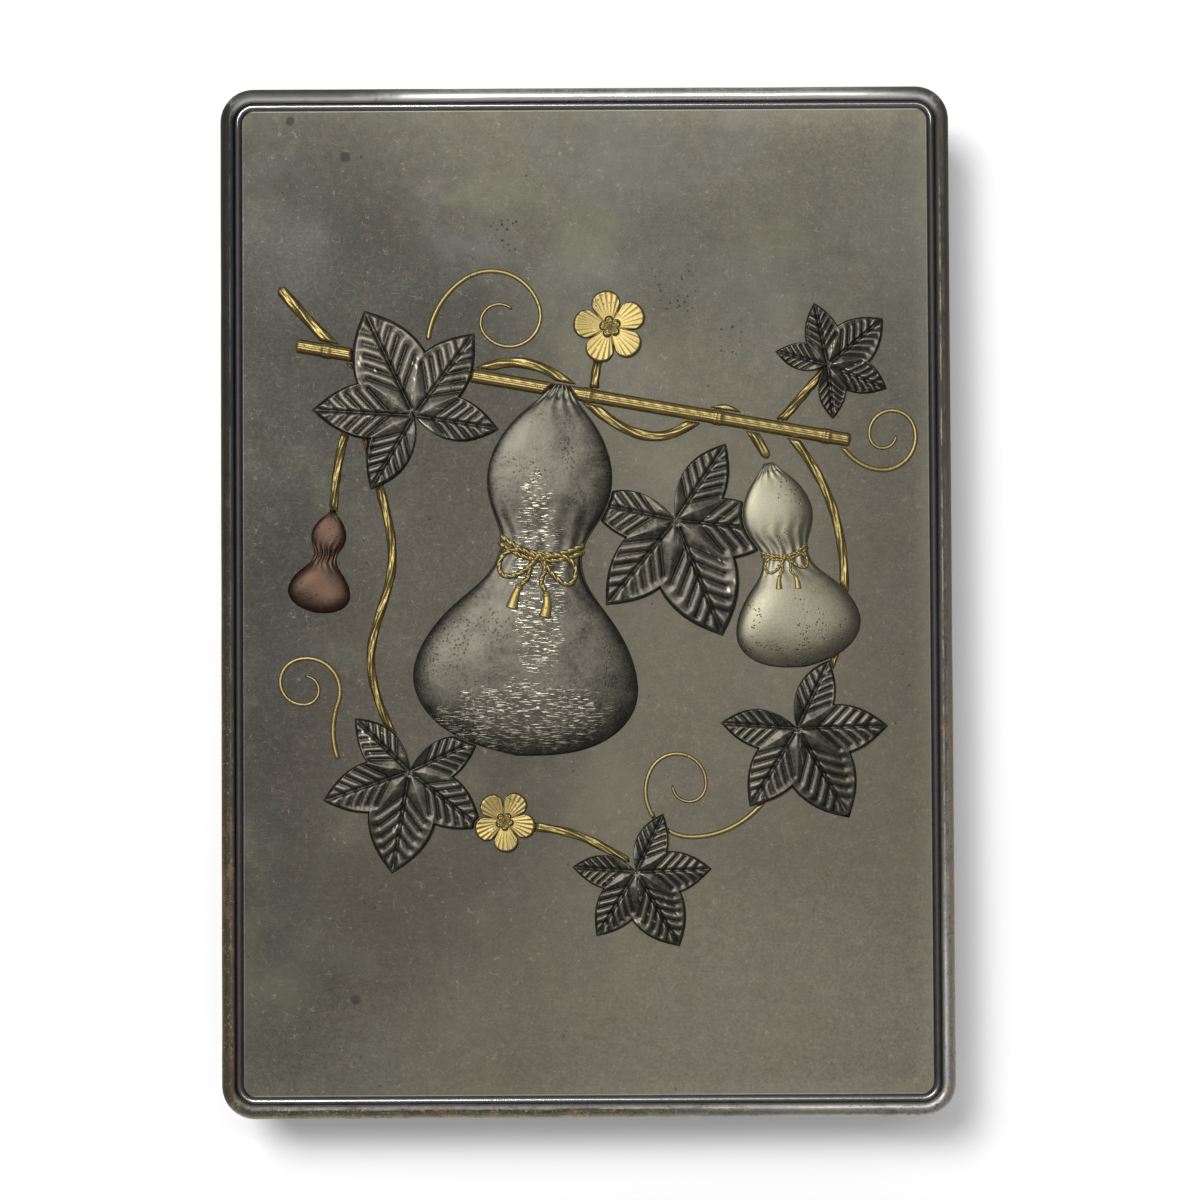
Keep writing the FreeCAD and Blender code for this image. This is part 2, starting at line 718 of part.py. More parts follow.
def make_tray(side, direction, radii):
    """A tray frame, its floor and two rests, notched for tools of the given radii."""
    centre = direction * tray_centre
    plan = Plan(tray_width, tray_length, size.tray_corner)
    inside = plan.inset(size.tray_wall)

    frame = Piece(f"tray_{side}_frame", x=centre, z=floor_top)
    sketch = frame.sketch()
    draw_plan(sketch, plan, "outer")
    draw_plan(sketch, inside, "inner")
    frame.pad(sketch, size.tray_height)
    scallop = frame.sketch("YZ_Plane")
    scallop_z = size.tray_height + size.scallop_radius - size.scallop_depth
    draw_circle(scallop, as_size(0), scallop_z, size.scallop_radius, "scallop")
    frame.pocket(scallop, tray_width + 2 * PAST, symmetric=True)

    floor = Piece(f"tray_{side}_floor", x=centre, z=floor_top)
    sketch = floor.sketch()
    draw_plan(sketch, inside, "outline")
    floor.pad(sketch, size.tray_floor)

    half = inside.width / 2
    for word, y in (("front", size.rest_front), ("back", size.rest_back)):
        rest = Piece(f"tray_{side}_rest_{word}", x=centre, y=y, z=floor_top + size.tray_floor)
        sketch = rest.sketch("XZ_Plane")
        top = size.rest_height
        draw_outline(sketch, [(-half, 0), (half, 0), (half, top), (-half, top)], "block")
        rest.pad(sketch, size.rest_thickness, symmetric=True)
        notches = rest.sketch("XZ_Plane")
        for index, (sign, radius) in enumerate(zip((-1, 1), radii)):
            offset = sign * size.tool_offset
            draw_circle(notches, offset, top, radius + size.tool_gap, f"notch{index}")
        rest.pocket(notches, size.rest_thickness + 2 * PAST, symmetric=True)


def turned_piece(label, x, y, corners):
    """A piece turned about a line along Y. Its corners have their radius and their distance along the
    line, and a bow where an arc starts."""
    piece = Piece(label, x=x, y=y, z=tool_axis_height())
    sketch = piece.sketch()
    draw_outline(sketch, corners, "section")
    piece.revolve(sketch)
    return piece


def make_handle(label, x, radius, length):
    """A handle with a rounded butt and the silver collar on its far end. Returns the collar's end."""
    butt = BUTT * radius
    turned_piece(
        f"{label}_handle",
        x,
        size.tool_start,
        [(0, 0), (radius - butt, 0, butt), (radius, butt), (radius, length), (0, length)],
    )
    y = size.tool_start + length
    end = radius - size.collar_taper
    turned_piece(
        f"{label}_collar",
        x,
        y,
        [(0, 0), (radius, 0), (radius, size.collar / 6), (end, size.collar), (0, size.collar)],
    )
    return y + size.collar


def make_brush(label, x, radius, handle, hair):
    """A brush whose hair swells to a belly and is drawn to a point."""
    y = make_handle(label, x, radius, handle)
    collar_end = radius - size.collar_taper
    root, belly, tip = (share * collar_end for share in (HAIR_ROOT, HAIR_BELLY, HAIR_TIP))
    rise = BELLY_PLACE * hair
    swell, taper = bend(belly - root, rise), bend(belly - tip, hair - rise)
    profile = [(0, 0), (root, 0, swell), (belly, rise, taper), (tip, hair), (0, hair)]
    turned_piece(f"{label}_hair", x, y, profile)


def make_knife(x):
    """A paper knife: a flat blade with a slanting, bowed point and one ground edge."""
    y = make_handle("knife", x, size.knife_radius, size.knife_handle)
    half = size.blade_width / 2
    blade = Piece("knife_blade", x=x, y=y, z=tool_axis_height())
    sketch = blade.sketch()
    shoulder = size.knife_blade - POINT_SLANT * size.blade_width
    bow = POINT_BOW * size.blade_width
    draw_outline(sketch, [(-half, 0), (half, 0), (half, shoulder, bow), (-half, size.knife_blade)], "blade")
    blade.pad(sketch, size.blade_thickness, symmetric=True)
    ground = blade.sketch("XZ_Plane")
    top = size.blade_thickness / 2
    edge = [(half, top * GROUND_DEPTH), (half, top), (half - GROUND_WIDTH * size.blade_width, top)]
    draw_outline(ground, edge, "ground")
    blade.pocket(ground, 2 * size.knife_blade + 2 * PAST, symmetric=True)


def make_awl(x):
    """A paper awl: a round spike drawn to a point."""
    y = make_handle("awl", x, size.awl_radius, size.awl_handle)
    radius, length = size.spike_radius, size.awl_spike
    tip = SPIKE_TIP * radius
    spike = [(0, 0), (radius, 0, bend(radius - tip, length)), (tip, length), (0, length)]
    turned_piece("awl_spike", x, y, spike)


def make_trays():
    make_tray("right", 1, (size.large_brush_radius, size.small_brush_radius))
    make_tray("left", -1, (size.knife_radius, size.awl_radius))
    inner, outer = tray_centre - size.tool_offset, tray_centre + size.tool_offset
    large = (size.large_brush_radius, size.large_brush_handle, size.large_brush_hair)
    small = (size.small_brush_radius, size.small_brush_handle, size.small_brush_hair)
    make_brush("brush_large", inner, *large)
    make_brush("brush_small", outer, *small)
    make_knife(-outer)
    make_awl(-inner)


# ---------------------------------------------------------------------------------------------------
# The raised inlay on the lid's plate
# ---------------------------------------------------------------------------------------------------

GOURD_SHAPE = [  # share of the length from the stem, and radius as a share of the length
    (0.0, 0.022),
    (0.03, 0.045),
    (0.09, 0.100),
    (0.17, 0.150),
    (0.26, 0.168),
    (0.35, 0.145),
    (0.43, 0.112),
    (0.50, 0.122),
    (0.60, 0.200),
    (0.72, 0.282),
    (0.83, 0.300),
    (0.92, 0.245),
    (0.975, 0.140),
    (1.0, 0.0),
]
LEAF_LOBES = [(0.0, 1.0, 0.62), (1.12, 0.90, 0.56), (2.22, 0.80, 0.60)]  # angle, length and half width
LOBE_DEPTH, LOBE_ROUND = 0.42, 0.9  # how deep the hollows are cut between the lobes, and how round
STALK_NOTCH, STALK_WIDTH = 0.74, 0.34  # how deep the leaf is notched at its stalk, and how wide
LEAF_HOLLOWS = (0.53, 1.68)  # angles of the hollows between the lobes
PETALS = 5
PETAL_HOLLOW = 0.45  # radius of the hollows between the petals, as a share of the flower's
BOSS_FOOT, BOSS_TOP = 0.27, 0.18  # radii of a flower's middle, as shares of the flower's
TALL = 20.0  # height of the prisms that one inlay is cut out of another with
CRUMB = 1.5  # mm3, the largest crumb that cutting one inlay out of another leaves behind
STEPS_ACROSS = 165.9  # steps of the inlay design's grid across the plate
step = plate_outline.width.value / STEPS_ACROSS


def turned_on_plate(shape, x, y, angle):
    """Turns a shape about Z and moves it to its place on the plate."""
    shape = shape.copy()
    shape.Placement = Placement(Vector(x, y, 0) * step, Rotation(Vector(0, 0, 1), angle))
    return shape


def prism(wire, height=TALL):
    return Part.Face(wire).extrude(Vector(0, 0, height))


def spline(points):
    curve = Part.BSplineCurve()
    curve.interpolate(points)
    return curve.toShape()


def gourd(length, relief, x, y, angle):
    """A gourd hanging from (x, y), flattened into relief, and the prism of its outline."""
    length = step * length
    side = [Vector(length * radius, -length * share, 0) for share, radius in GOURD_SHAPE]
    right = spline(side)
    stem = Part.makeLine(Vector(0, 0, 0), side[0])
    axis = Part.makeLine(side[-1], Vector(0, 0, 0))
    half = Part.Face(Part.Wire([stem, right, axis]))
    turned = half.revolve(Vector(0, 0, 0), Vector(0, 1, 0), -180)
    flatten = Matrix()
    flatten.scale(1, 1, relief.value / (length * max(radius for _, radius in GOURD_SHAPE)))
    solid = turned.transformGeometry(flatten)
    left = right.mirror(Vector(0, 0, 0), Vector(1, 0, 0))
    across = Part.makeLine(Vector(-side[0].x, 0, 0), side[0])
    shadow = prism(Part.Wire([right, left, across]))
    return turned_on_plate(solid, x, y, angle), turned_on_plate(shadow, x, y, angle)


def leaf_radius(angle):
    """Outline of a gourd leaf of radius 1: five pointed lobes, and a notch at the stalk."""
    away = abs(angle)
    lobes = [
        length - LOBE_DEPTH * (abs(away - middle) / half) ** LOBE_ROUND
        for middle, length, half in LEAF_LOBES
    ]
    return max(lobes) * (1 - STALK_NOTCH * math.exp(-(((math.pi - away) / STALK_WIDTH) ** 2)))


def at_angle(radius, angle):
    """A point at a radius and at an angle clockwise from +Y."""
    return Vector(radius * math.sin(angle), radius * math.cos(angle), 0)


def leaf_wire(radius, steps=5):
    """A leaf's outline, with one curve between each lobe's point and the hollow beside it."""
    side = sorted([middle for middle, _, _ in LEAF_LOBES] + [*LEAF_HOLLOWS, math.pi])
    marks = [-angle for angle in reversed(side)] + side[1:]
    edges = []
    for low, high in zip(marks, marks[1:]):
        angles = [low + (high - low) * k / steps for k in range(steps + 1)]
        edges.append(spline([at_angle(radius * leaf_radius(a), a) for a in angles]))
    return Part.Wire(edges)


def domed(wire, edge, middle, reach):
    """A low dome over an outline that reaches so far out, with its heights at the edge and the middle."""
    rise = middle.value - edge.value
    ball = (reach * reach + rise * rise) / (2 * rise)
    sphere = Part.makeSphere(ball)
    sphere.Placement = Placement(Vector(0, 0, middle.value - ball), Rotation(Vector(0, 1, 0), 90))
    return prism(wire, middle.value).common(sphere)


def leaf(radius, x, y, angle):
    radius = step * radius
    wire = leaf_wire(radius)
    solid = domed(wire, size.leaf_edge, size.leaf_relief, radius)
    return turned_on_plate(solid, x, y, angle), turned_on_plate(prism(wire), x, y, angle)


def flower(radius, x, y, angle):
    """A flower of five round petals about a boss."""
    radius = step * radius
    turn = 2 * math.pi / PETALS
    arcs = []
    for petal in range(PETALS):
        hollows = [at_angle(PETAL_HOLLOW * radius, (petal + side) * turn) for side in (-0.5, 0.5)]
        arcs.append(Part.Arc(hollows[0], at_angle(radius, petal * turn), hollows[1]).toShape())
    wire = Part.Wire(arcs)
    boss = Part.makeCone(BOSS_FOOT * radius, BOSS_TOP * radius, size.flower_boss.value)
    solid = domed(wire, size.flower_edge, size.flower_relief, radius).fuse(boss)
    return turned_on_plate(solid, x, y, angle), turned_on_plate(prism(wire), x, y, angle)


def wire_inlay(radius, path):
    """A half-round wire laid along a path on the plate."""
    radius = radius.value
    first = path.Edges[0]
    start = first.valueAt(first.FirstParameter)
    forward = first.tangentAt(first.FirstParameter)
    side = Vector(-forward.y, forward.x, 0) * radius
    arch = Part.Arc(start - side, start + Vector(0, 0, radius), start + side).toShape()
    section = Part.Wire([arch, Part.makeLine(start + side, start - side)])
    sweep = Part.BRepOffsetAPI.MakePipeShell(path)
    sweep.setBiNormalMode(Vector(0, 0, 1))
    sweep.add(section)
    sweep.build()
    sweep.makeSolid()
    return sweep.shape()


def curl(x, y, heading, steps):
    """A path of tangent arcs: each step is a radius and the degrees to turn, with left as plus."""
    edges = []
    here = Vector(x, y, 0) * step
    heading = math.radians(heading)
    for radius, degrees in steps:
        radius = step * radius
        left = 1 if degrees > 0 else -1
        turn = math.radians(degrees)
        centre = here + Vector(-math.sin(heading), math.cos(heading), 0) * radius * left
        outward = [heading + turn * share - left * math.pi / 2 for share in (0.5, 1)]
        middle, there = (centre + Vector(math.cos(a), math.sin(a), 0) * radius for a in outward)
        edges.append(Part.Arc(here, middle, there).toShape())
        here = there
        heading += turn
    return Part.Wire(edges)


def bamboo_bar(length, x, y, angle, joints):
    """Half of a bamboo pole with a raised ring at each joint, and the prism of its outline."""
    length = step * length
    radius = size.bar_radius.value
    along = Vector(1, 0, 0)
    pole = Part.makeCylinder(radius, length, Vector(0, 0, 0), along)
    ring_radius = radius + size.bar_ring.value
    ring_width = size.bar_ring_width.value
    for share in joints:
        ring_start = Vector(share * length, 0, 0)
        pole = pole.fuse(Part.makeCylinder(ring_radius, ring_width, ring_start, along))
    above = Part.makeBox(length, 2 * ring_radius, ring_radius, Vector(0, -ring_radius, 0))
    half = pole.common(above)
    shadow = Part.makeBox(length, 2 * ring_radius, TALL, Vector(0, -ring_radius, 0))
    return turned_on_plate(half, x, y, angle), turned_on_plate(shadow, x, y, angle)


def cut_out(solids, shadows):
    """The solids less the prisms of what lies over them, without crumbs."""
    pieces = []
    for solid in solids:
        near = [shadow for shadow in shadows if shadow.BoundBox.intersect(solid.BoundBox)]
        left = solid.cut(near) if near else solid
        pieces.extend(s for s in left.Solids if s.Volume > CRUMB * step**3)
    return pieces


# Places and lengths in steps of the design's grid, from the plate's middle, with angles in degrees
# anticlockwise.
GOURDS = {  # length, relief, place of the stem, angle
    "inlay_gourd_large": (90.0, size.gourd_relief, -6.0, 52.0, -7.0),
    "inlay_gourd_small": (50.0, size.small_gourd_relief, 44.0, 33.0, 10.0),
    "inlay_gourd_young": (25.0, size.young_gourd_relief, -61.0, 22.0, -10.0),
}
LEAVES = [  # radius, place of the stalk, angle; the first lie over the later ones
    (27.0, -42.0, 46.0, 25.0),
    (29.0, 22.0, 18.0, -158.0),
    (24.0, -43.0, -42.0, 170.0),
    (24.0, 51.0, -32.0, -150.0),
    (17.0, 59.0, 57.0, -50.0),
    (20.0, 12.0, -66.0, -150.0),
]
FLOWERS = [(9.0, 6.0, 66.0, 10.0), (7.5, -20.0, -53.0, 40.0)]  # radius, place, angle
BAR = (136.0, -70.0, 62.0, -10.0, (0.05, 0.285, 0.52, 0.755, 0.95))  # length, place, angle, rings
MAIN_VINE = [(-74, 76), (-65, 66), (-54, 56), (-38, 49), (-22, 57), (-10, 56), (4, 45), (20, 40)]
MAIN_VINE += [(33, 46), (44, 34)]
BRANCHES = [  # points along each; where two meet, something lies over them
    [(-55, 47), (-50, 28), (-47, 8), (-52, -12), (-45, -36)],
    [(-42, -44), (-32, -52), (-20, -54), (-4, -56), (10, -63)],
    [(-50, 54), (-57, 43), (-60, 32), (-61, 21)],
    [(48, 41.6), (57, 28), (62, 8), (60, -12), (52, -30)],
    [(46, 42), (53, 50), (59, 57)],
    [(2, 50), (3, 58), (6, 66)],
]
TENDRILS = [  # start, heading, and steps
    (-38.0, 63.0, 85.0, [(20, -50), (12, -110), (7.5, -160), (4.5, -170)]),
    (61.0, 39.0, -70.0, [(12, 60), (8, 120), (5.5, 170), (3.2, 170)]),
    (-60.0, -38.0, 110.0, [(20, -40), (8, 130), (5.5, 170), (3.4, 170)]),
    (44.0, -46.0, -120.0, [(22, -60), (11, -120), (7, -160), (4, -170)]),
]


def vine_path(points):
    return Part.Wire([spline([Vector(x, y, 0) * step for x, y in points])])


def make_inlay():
    flowers = [flower(*numbers) for numbers in FLOWERS]
    shaped("inlay_flowers", [solid for solid, _ in flowers])
    over = [shadow for _, shadow in flowers]

    gourds = {label: gourd(*numbers) for label, numbers in GOURDS.items()}
    for label, (solid, _) in gourds.items():
        shaped(label, cut_out([solid], over))
    over += [shadow for _, shadow in gourds.values()]

    leaves = []
    for numbers in LEAVES:
        solid, shadow = leaf(*numbers)
        leaves += cut_out([solid], over)
        over.append(shadow)
    shaped("inlay_leaves", leaves)

    bar, bar_shadow = bamboo_bar(*BAR)
    shaped("inlay_bar", cut_out([bar], over))
    over.append(bar_shadow)

    vines = [wire_inlay(size.vine_radius, vine_path(MAIN_VINE))]
    vines += [wire_inlay(size.branch_radius, vine_path(points)) for points in BRANCHES]
    shaped("inlay_vines", cut_out(vines, over))
    tendrils = [wire_inlay(size.tendril_radius, curl(*numbers)) for numbers in TENDRILS]
    shaped("inlay_tendrils", cut_out(tendrils, over))


# ---------------------------------------------------------------------------------------------------
# Build, check and write
# ---------------------------------------------------------------------------------------------------


def write_parts():
    doc.recompute()
    for thing in doc.Objects:
        if "Invalid" in thing.State or "Error" in thing.State:
            raise RuntimeError(f"{thing.Label} failed: {thing.State}")
    os.makedirs("parts", exist_ok=True)
    for part in subparts:
        shape = part.Shape
        if shape.isNull() or not shape.isValid() or not shape.Solids:
            raise RuntimeError(f"{part.Label} has no valid solid")
        shape.exportStep(os.path.join("parts", part.Label + ".step"))


make_box()
make_lid()
make_fitted_board()
make_ink_stone()
make_water_dropper()
make_ink_stick()
make_trays()
make_inlay()
write_parts()
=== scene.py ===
"""A Japanese writing box (suzuribako) with its fittings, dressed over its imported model.

The lid's rim and bead, the raised inlay, the bamboo handles and the brush hair are modelled here. Every
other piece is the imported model's own, and all get finishes made of shader nodes. Lengths are in
millimetres until a point is placed, and angles in radians unless a name says degrees.
"""

from functools import partialmethod, reduce
from math import cos, pi, radians, sin, tan

import bmesh
import bpy
import numpy as np
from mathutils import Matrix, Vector


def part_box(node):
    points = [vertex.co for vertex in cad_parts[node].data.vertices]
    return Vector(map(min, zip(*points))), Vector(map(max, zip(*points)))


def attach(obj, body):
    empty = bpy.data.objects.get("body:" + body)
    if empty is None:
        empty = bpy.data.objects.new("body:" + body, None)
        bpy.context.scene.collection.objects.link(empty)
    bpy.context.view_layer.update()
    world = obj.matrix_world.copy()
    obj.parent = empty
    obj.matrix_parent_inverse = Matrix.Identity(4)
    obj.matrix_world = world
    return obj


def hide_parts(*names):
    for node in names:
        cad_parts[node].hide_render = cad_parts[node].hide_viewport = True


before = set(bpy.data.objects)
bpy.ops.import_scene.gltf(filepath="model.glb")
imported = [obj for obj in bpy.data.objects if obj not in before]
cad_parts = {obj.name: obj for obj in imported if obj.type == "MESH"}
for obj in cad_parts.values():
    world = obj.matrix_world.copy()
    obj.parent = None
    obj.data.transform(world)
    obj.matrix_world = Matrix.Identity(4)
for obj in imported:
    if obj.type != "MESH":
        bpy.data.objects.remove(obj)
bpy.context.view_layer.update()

MM = 0.001
WELD = 1e-6  # metres, under which two corners of a mesh are one


# ---- Measures ----


def measure(node):
    """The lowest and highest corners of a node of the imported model."""
    return [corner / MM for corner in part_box(node)]


rim_low, rim_high = measure("lid_rim")
bead_low, bead_high = measure("lid_bead")
HALF_WIDTH, HALF_LENGTH, _ = rim_high
PLATE_X, PLATE_Y, PLATE_TOP = measure("lid_plate")[1]
ENDS = HALF_LENGTH - HALF_WIDTH  # how much further out the ends are than the sides
CORNER = 8  # corner radius of the rim, seen from above
RIM_WIDTH = 3.2
RIM_CROWN = 2  # where the rim is highest, from its outer side
RIM_WORN = 2.45  # where it is rubbed bright, from the same side
RIM_ROLL = 2.4  # height of the rim's outer shoulder
RIM_INNER_ROLL = 0.6  # height of its inner shoulder
RIM_SPARE = 0.04  # how far the rim stays below its node's top
BEAD_ROLL = 0.85  # height of the bead's shoulders
BEAD_GAP = 0.1  # between the bead and the plate


# ---- Finishes ----


class Value:
    """A socket's value in a finish. Sums and products of values add Math nodes."""

    def __init__(self, finish, socket):
        self.finish = finish
        self.socket = socket

    def math(self, operation, *others):
        return self.finish.node("Math", dict(enumerate((self, *others))), operation=operation)

    __add__ = __radd__ = partialmethod(math, "ADD")
    __sub__ = partialmethod(math, "SUBTRACT")
    __rsub__ = partialmethod(math, "MULTIPLY_ADD", -1)
    __mul__ = __rmul__ = partialmethod(math, "MULTIPLY")
    __truediv__ = partialmethod(math, "DIVIDE")
    __pow__ = partialmethod(math, "POWER")
    least = partialmethod(math, "MINIMUM")
    most = partialmethod(math, "MAXIMUM")
    plain = partialmethod(math, "ABSOLUTE")  # the value without its sign

    def away(self, middle, reach=1):
        """The square of how far the value is from a middle, counted in reaches."""
        return ((self - middle) / reach) ** 2

    def rise(self, low, high):
        """0 below low, 1 above high, and smooth between them. It falls where low is above high."""
        if low > high:
            return 1 - self.rise(high, low)
        inputs = {0: self, 1: low, 2: high}
        return self.finish.node("MapRange", inputs, interpolation_type="SMOOTHSTEP")


def highest(*values):
    return reduce(Value.most, values)


def past_sides(x, y):
    """How far a spot is past the straight sides and ends: both over 0 only at a corner."""
    return (x.plain() - (HALF_WIDTH - CORNER)).most(0), (y.plain() - (HALF_LENGTH - CORNER)).most(0)


def tint(red, green, blue):
    """A colour from its screen values, 0 to 255, as the linear values that a shader takes."""
    shares = (red / 255, green / 255, blue / 255)
    return (*[s / 12.92 if s <= 0.04045 else ((s + 0.055) / 1.055) ** 2.4 for s in shares], 1)


class Finish:
    """A material while it is made."""

    def __init__(self, name):
        self.material = bpy.data.materials.new(name)
        self.material.use_nodes = True
        self.tree = self.material.node_tree
        self.tree.nodes.clear()
        self.place = self.node("TexCoord", output="Object")

    def node(self, kind, inputs=None, output=0, **settings):
        """Adds a node: first its settings, then the values or links of its sockets."""
        node = self.tree.nodes.new("ShaderNode" + kind)
        for name, setting in settings.items():
            setattr(node, name, setting)
        for socket, value in (inputs or {}).items():
            if isinstance(value, Value):
                self.tree.links.new(value.socket, node.inputs[socket])
            else:
                node.inputs[socket].default_value = value
        return Value(self, node.outputs[output])

    def axes(self):
        """The place on the object along X, Y and Z, in millimetres."""
        return [self.node("SeparateXYZ", {0: self.place}, axis) * (1 / MM) for axis in range(3)]

    def counted(self, size):
        """The place, counted in a size, or in three sizes along X, Y and Z."""
        sizes = size if isinstance(size, tuple) else (size, size, size)
        scale = tuple(1 / (MM * length) for length in sizes)
        return self.node("Mapping", {"Vector": self.place, "Scale": scale})

    def cloud(self, size, detail=2, roughness=0.5, warp=0):
        """Soft noise with spots of a size, or of three sizes along X, Y and Z."""
        inputs = {"Vector": self.counted(size), "Scale": 1}
        inputs |= {"Detail": detail, "Roughness": roughness, "Distortion": warp}
        return self.node("TexNoise", inputs)

    def cells(self, size, output="Distance"):
        """Grains of a size: the distance to a grain's middle, or its own random colour."""
        return self.node("TexVoronoi", {"Vector": self.counted(size), "Scale": 1}, output)

    def blend(self, share, colour, other):
        """One colour turning into another as the share goes from 0 to 1."""
        return self.node("Mix", {0: share, 6: colour, 7: other}, 2, data_type="RGBA")

    def ramp(self, value, *stops):
        """A colour that follows a value. Each stop is a value and a colour's screen values."""
        colour = self.node("ValToRGB", {0: value})
        elements = colour.socket.node.color_ramp.elements
        elements.remove(elements[1])
        for index, (at, *rgb) in enumerate(stops):
            stop = elements.new(at) if index else elements[0]
            stop.position = at
            stop.color = tint(*rgb)
        return colour

    def layers(self, colour, *coats):
        """A colour under coats of others. Each coat is its share and a colour's screen values."""
        for share, *rgb in coats:
            colour = self.blend(share, colour, tint(*rgb))
        return colour

    def bump(self, height, depth, below=None):
        """A bumpy normal: the height's range of 1 is so many millimetres deep."""
        under = {"Normal": below} if below else {}
        return self.node("Bump", {"Height": height, "Distance": depth * MM, **under})

    def ridges(self):
        """How far a spot stands out as a ridge: about 0.5 on level ground."""
        return self.node("NewGeometry", output="Pointiness")

    def done(self, colour, roughness, normal, **others):
        """Ends the finish in a Principled shader. others are its sockets named like coat_weight."""
        inputs = {"Base Color": colour, "Roughness": roughness, "Normal": normal}
        inputs |= {name.replace("_", " ").title().replace("Ior", "IOR"): s for name, s in others.items()}
        return self.ended(self.node("BsdfPrincipled", inputs))

    def ended(self, shader):
        """Gives the material its surface and returns it."""
        out = self.tree.nodes.new("ShaderNodeOutputMaterial")
        self.tree.links.new(shader.socket, out.inputs["Surface"])
        return self.material


SHADE_AND_SHEEN_OVALS = (  # painted shade and sheen on the plate, as lighter and darker ovals: weight, middle and reach both ways
    (-0.6, -78, 2, 98, 135),
    (-0.05, -76, -58, 32, 46),
    (0.06, -46, -92, 34, 30),
    (-0.08, 14, 80, 62, 26),
    (-0.12, 84, 20, 31, 89),
    (0.15, 50, -112, 73, 55),
)
STAINS = ((-71.2, 116.4, 1.1), (-57.9, 107.7, 1.2), (-56, -95.7, 1.1))  # place and radius
PITTED = ((-18.3, 89.2, 7), (22.6, 75.2, 9), (35.8, 62, 8))  # place and reach


def plate_metal(f):
    """Satin grey metal with clouds of patina, fine speckle, stains, pits and hair scratches, under painted
    sheen and shade.
    """
    x, y, _ = f.axes()

    def off(middle_x, middle_y, reach_x=1, reach_y=1):
        return x.away(middle_x, reach_x) + y.away(middle_y, reach_y)

    from_side = PLATE_X - x.plain()
    from_end = PLATE_Y - y.plain()
    inward = from_side.least(from_end)
    rightward = x.rise(-60, 60)
    clouds = f.cloud(48, 3, 0.55, warp=0.6)
    smoke = f.cloud(17, 3, 0.6, warp=0.4)
    mottle = f.cloud(2.6, 4, 0.65, warp=0.3)
    speckle = f.cloud(0.8, 2, 0.7)
    dust = f.cloud(0.34, 1)
    shade = 0.39 + 0.09 * (clouds - 0.5) + 0.08 * (smoke - 0.5) + 0.45 * (speckle - 0.5)
    # Lighter near the edges, more so on the right, and along the far end's right half: painted sheen.
    shade += 0.26 * (mottle - 0.5) + (0.01 + 0.07 * rightward) * inward.rise(7, 0)
    shade += 0.27 * (dust - 0.5) + 0.1 * y.rise(103, 119) * x.rise(-5, 55)
    # Painted shade and sheen: lighter and darker ovals, darkest down the left.
    for weight, *place in SHADE_AND_SHEEN_OVALS:
        shade += weight * off(*place).rise(1, 0)
    violet = f.cloud(24, 3, 0.5, warp=0.3).rise(0.42, 0.74)
    warm = off(18, -40, 95, 112).rise(1.3, 0.2)
    rusty = f.cloud(3.2, 5, 0.75, warp=0.6)
    greenish = f.cloud(27, 3, 0.55).rise(0.5, 0.72) * 0.22
    greenish += inward.rise(4, 0) * clouds * (0.08 + 0.32 * rightward)
    flecks = f.cells(2.3).rise(0.1, 0.04) * f.cloud(9).rise(0.4, 0.6)
    hairs = (f.cloud(2.1, 1) - 0.5).plain().rise(0.016, 0.004) * f.cloud(1.6).rise(0.54, 0.6)
    straight = f.cloud((3.2, 0.1, 1), 1, 0.4).rise(0.7, 0.74)
    rubbed = highest(flecks * 0.16, hairs * 0.2, straight * 0.1)
    ragged = 0.5 * (mottle - 0.5)
    stains = [(off(*place) ** 0.5 + ragged).rise(size * 1.25, size * 0.8) for *place, size in STAINS]
    pitted = [(off(*place) ** 0.5).rise(size, size * 0.3) for *place, size in PITTED]
    pits = f.cells(1.5).rise(0.26, 0.12) * f.cloud(4).rise(0.42, 0.5) * highest(*pitted)
    strays = f.cells(6.5).rise(0.06, 0.03)
    marks = highest(pits * 0.9, highest(*stains) * 0.5, strays * 0.5)
    # A painted highlight along the plate's edge by the bead, brightest at the two ends.
    edge = (from_end.rise(0.5, 0.2) * 0.3).most(from_side.rise(0.5, 0.2) * 0.12)
    colour = f.layers(
        f.ramp(shade, (0.12, 52, 50, 41), (0.4, 84, 82, 69), (0.58, 108, 104, 91), (0.85, 140, 136, 122)),
        # Painted shade over the left middle.
        (0.55 * off(-88, -12, 40, 70).rise(1, 0), 32, 31, 26),
        (violet * (0.08 + 0.22 * y.rise(30, 110)), 101, 101, 102),
        (warm * (0.16 + 0.2 * smoke), 93, 81, 66),
        (rusty.rise(0.52, 0.66) * 0.16, 104, 88, 71),
        (rusty.rise(0.48, 0.34) * 0.16, 82, 92, 78),
        (greenish, 108, 109, 84),
        (rubbed, 158, 152, 132),
        (marks, 42, 40, 35),
        (edge, 236, 234, 226),
    )
    rough = 0.56 + 0.18 * (speckle - 0.5) + 0.12 * (smoke - 0.5) + 0.15 * marks - 0.1 * rubbed - 0.2 * edge
    height = speckle * 0.6 + mottle * 0.5 - marks
    normal = f.bump(height, 0.03, f.bump(f.cloud(22), 0.1))
    return f.done(colour, rough, normal, metallic=0.55)


TONE_STOPS_AT = (0.1, 0.4, 0.64, 0.9)  # shares of the rim's width, from its outer side
TARNISH_AND_SHADE = {  # the rim's colours there, by side and end: tarnish, with painted light and shade across the rolled section
    "left_far": ((66, 60, 46), (46, 42, 34), (30, 30, 30), (58, 62, 66)),
    "left_near": ((84, 76, 60), (72, 64, 50), (64, 56, 44), (96, 87, 70)),
    "right_far": ((92, 88, 78), (100, 94, 83), (56, 54, 48), (78, 76, 69)),
    "right_near": ((134, 122, 106), (142, 136, 125), (78, 75, 71), (104, 104, 101)),
    "near": ((166, 166, 142), (104, 98, 88), (50, 47, 42), (140, 137, 134)),
}


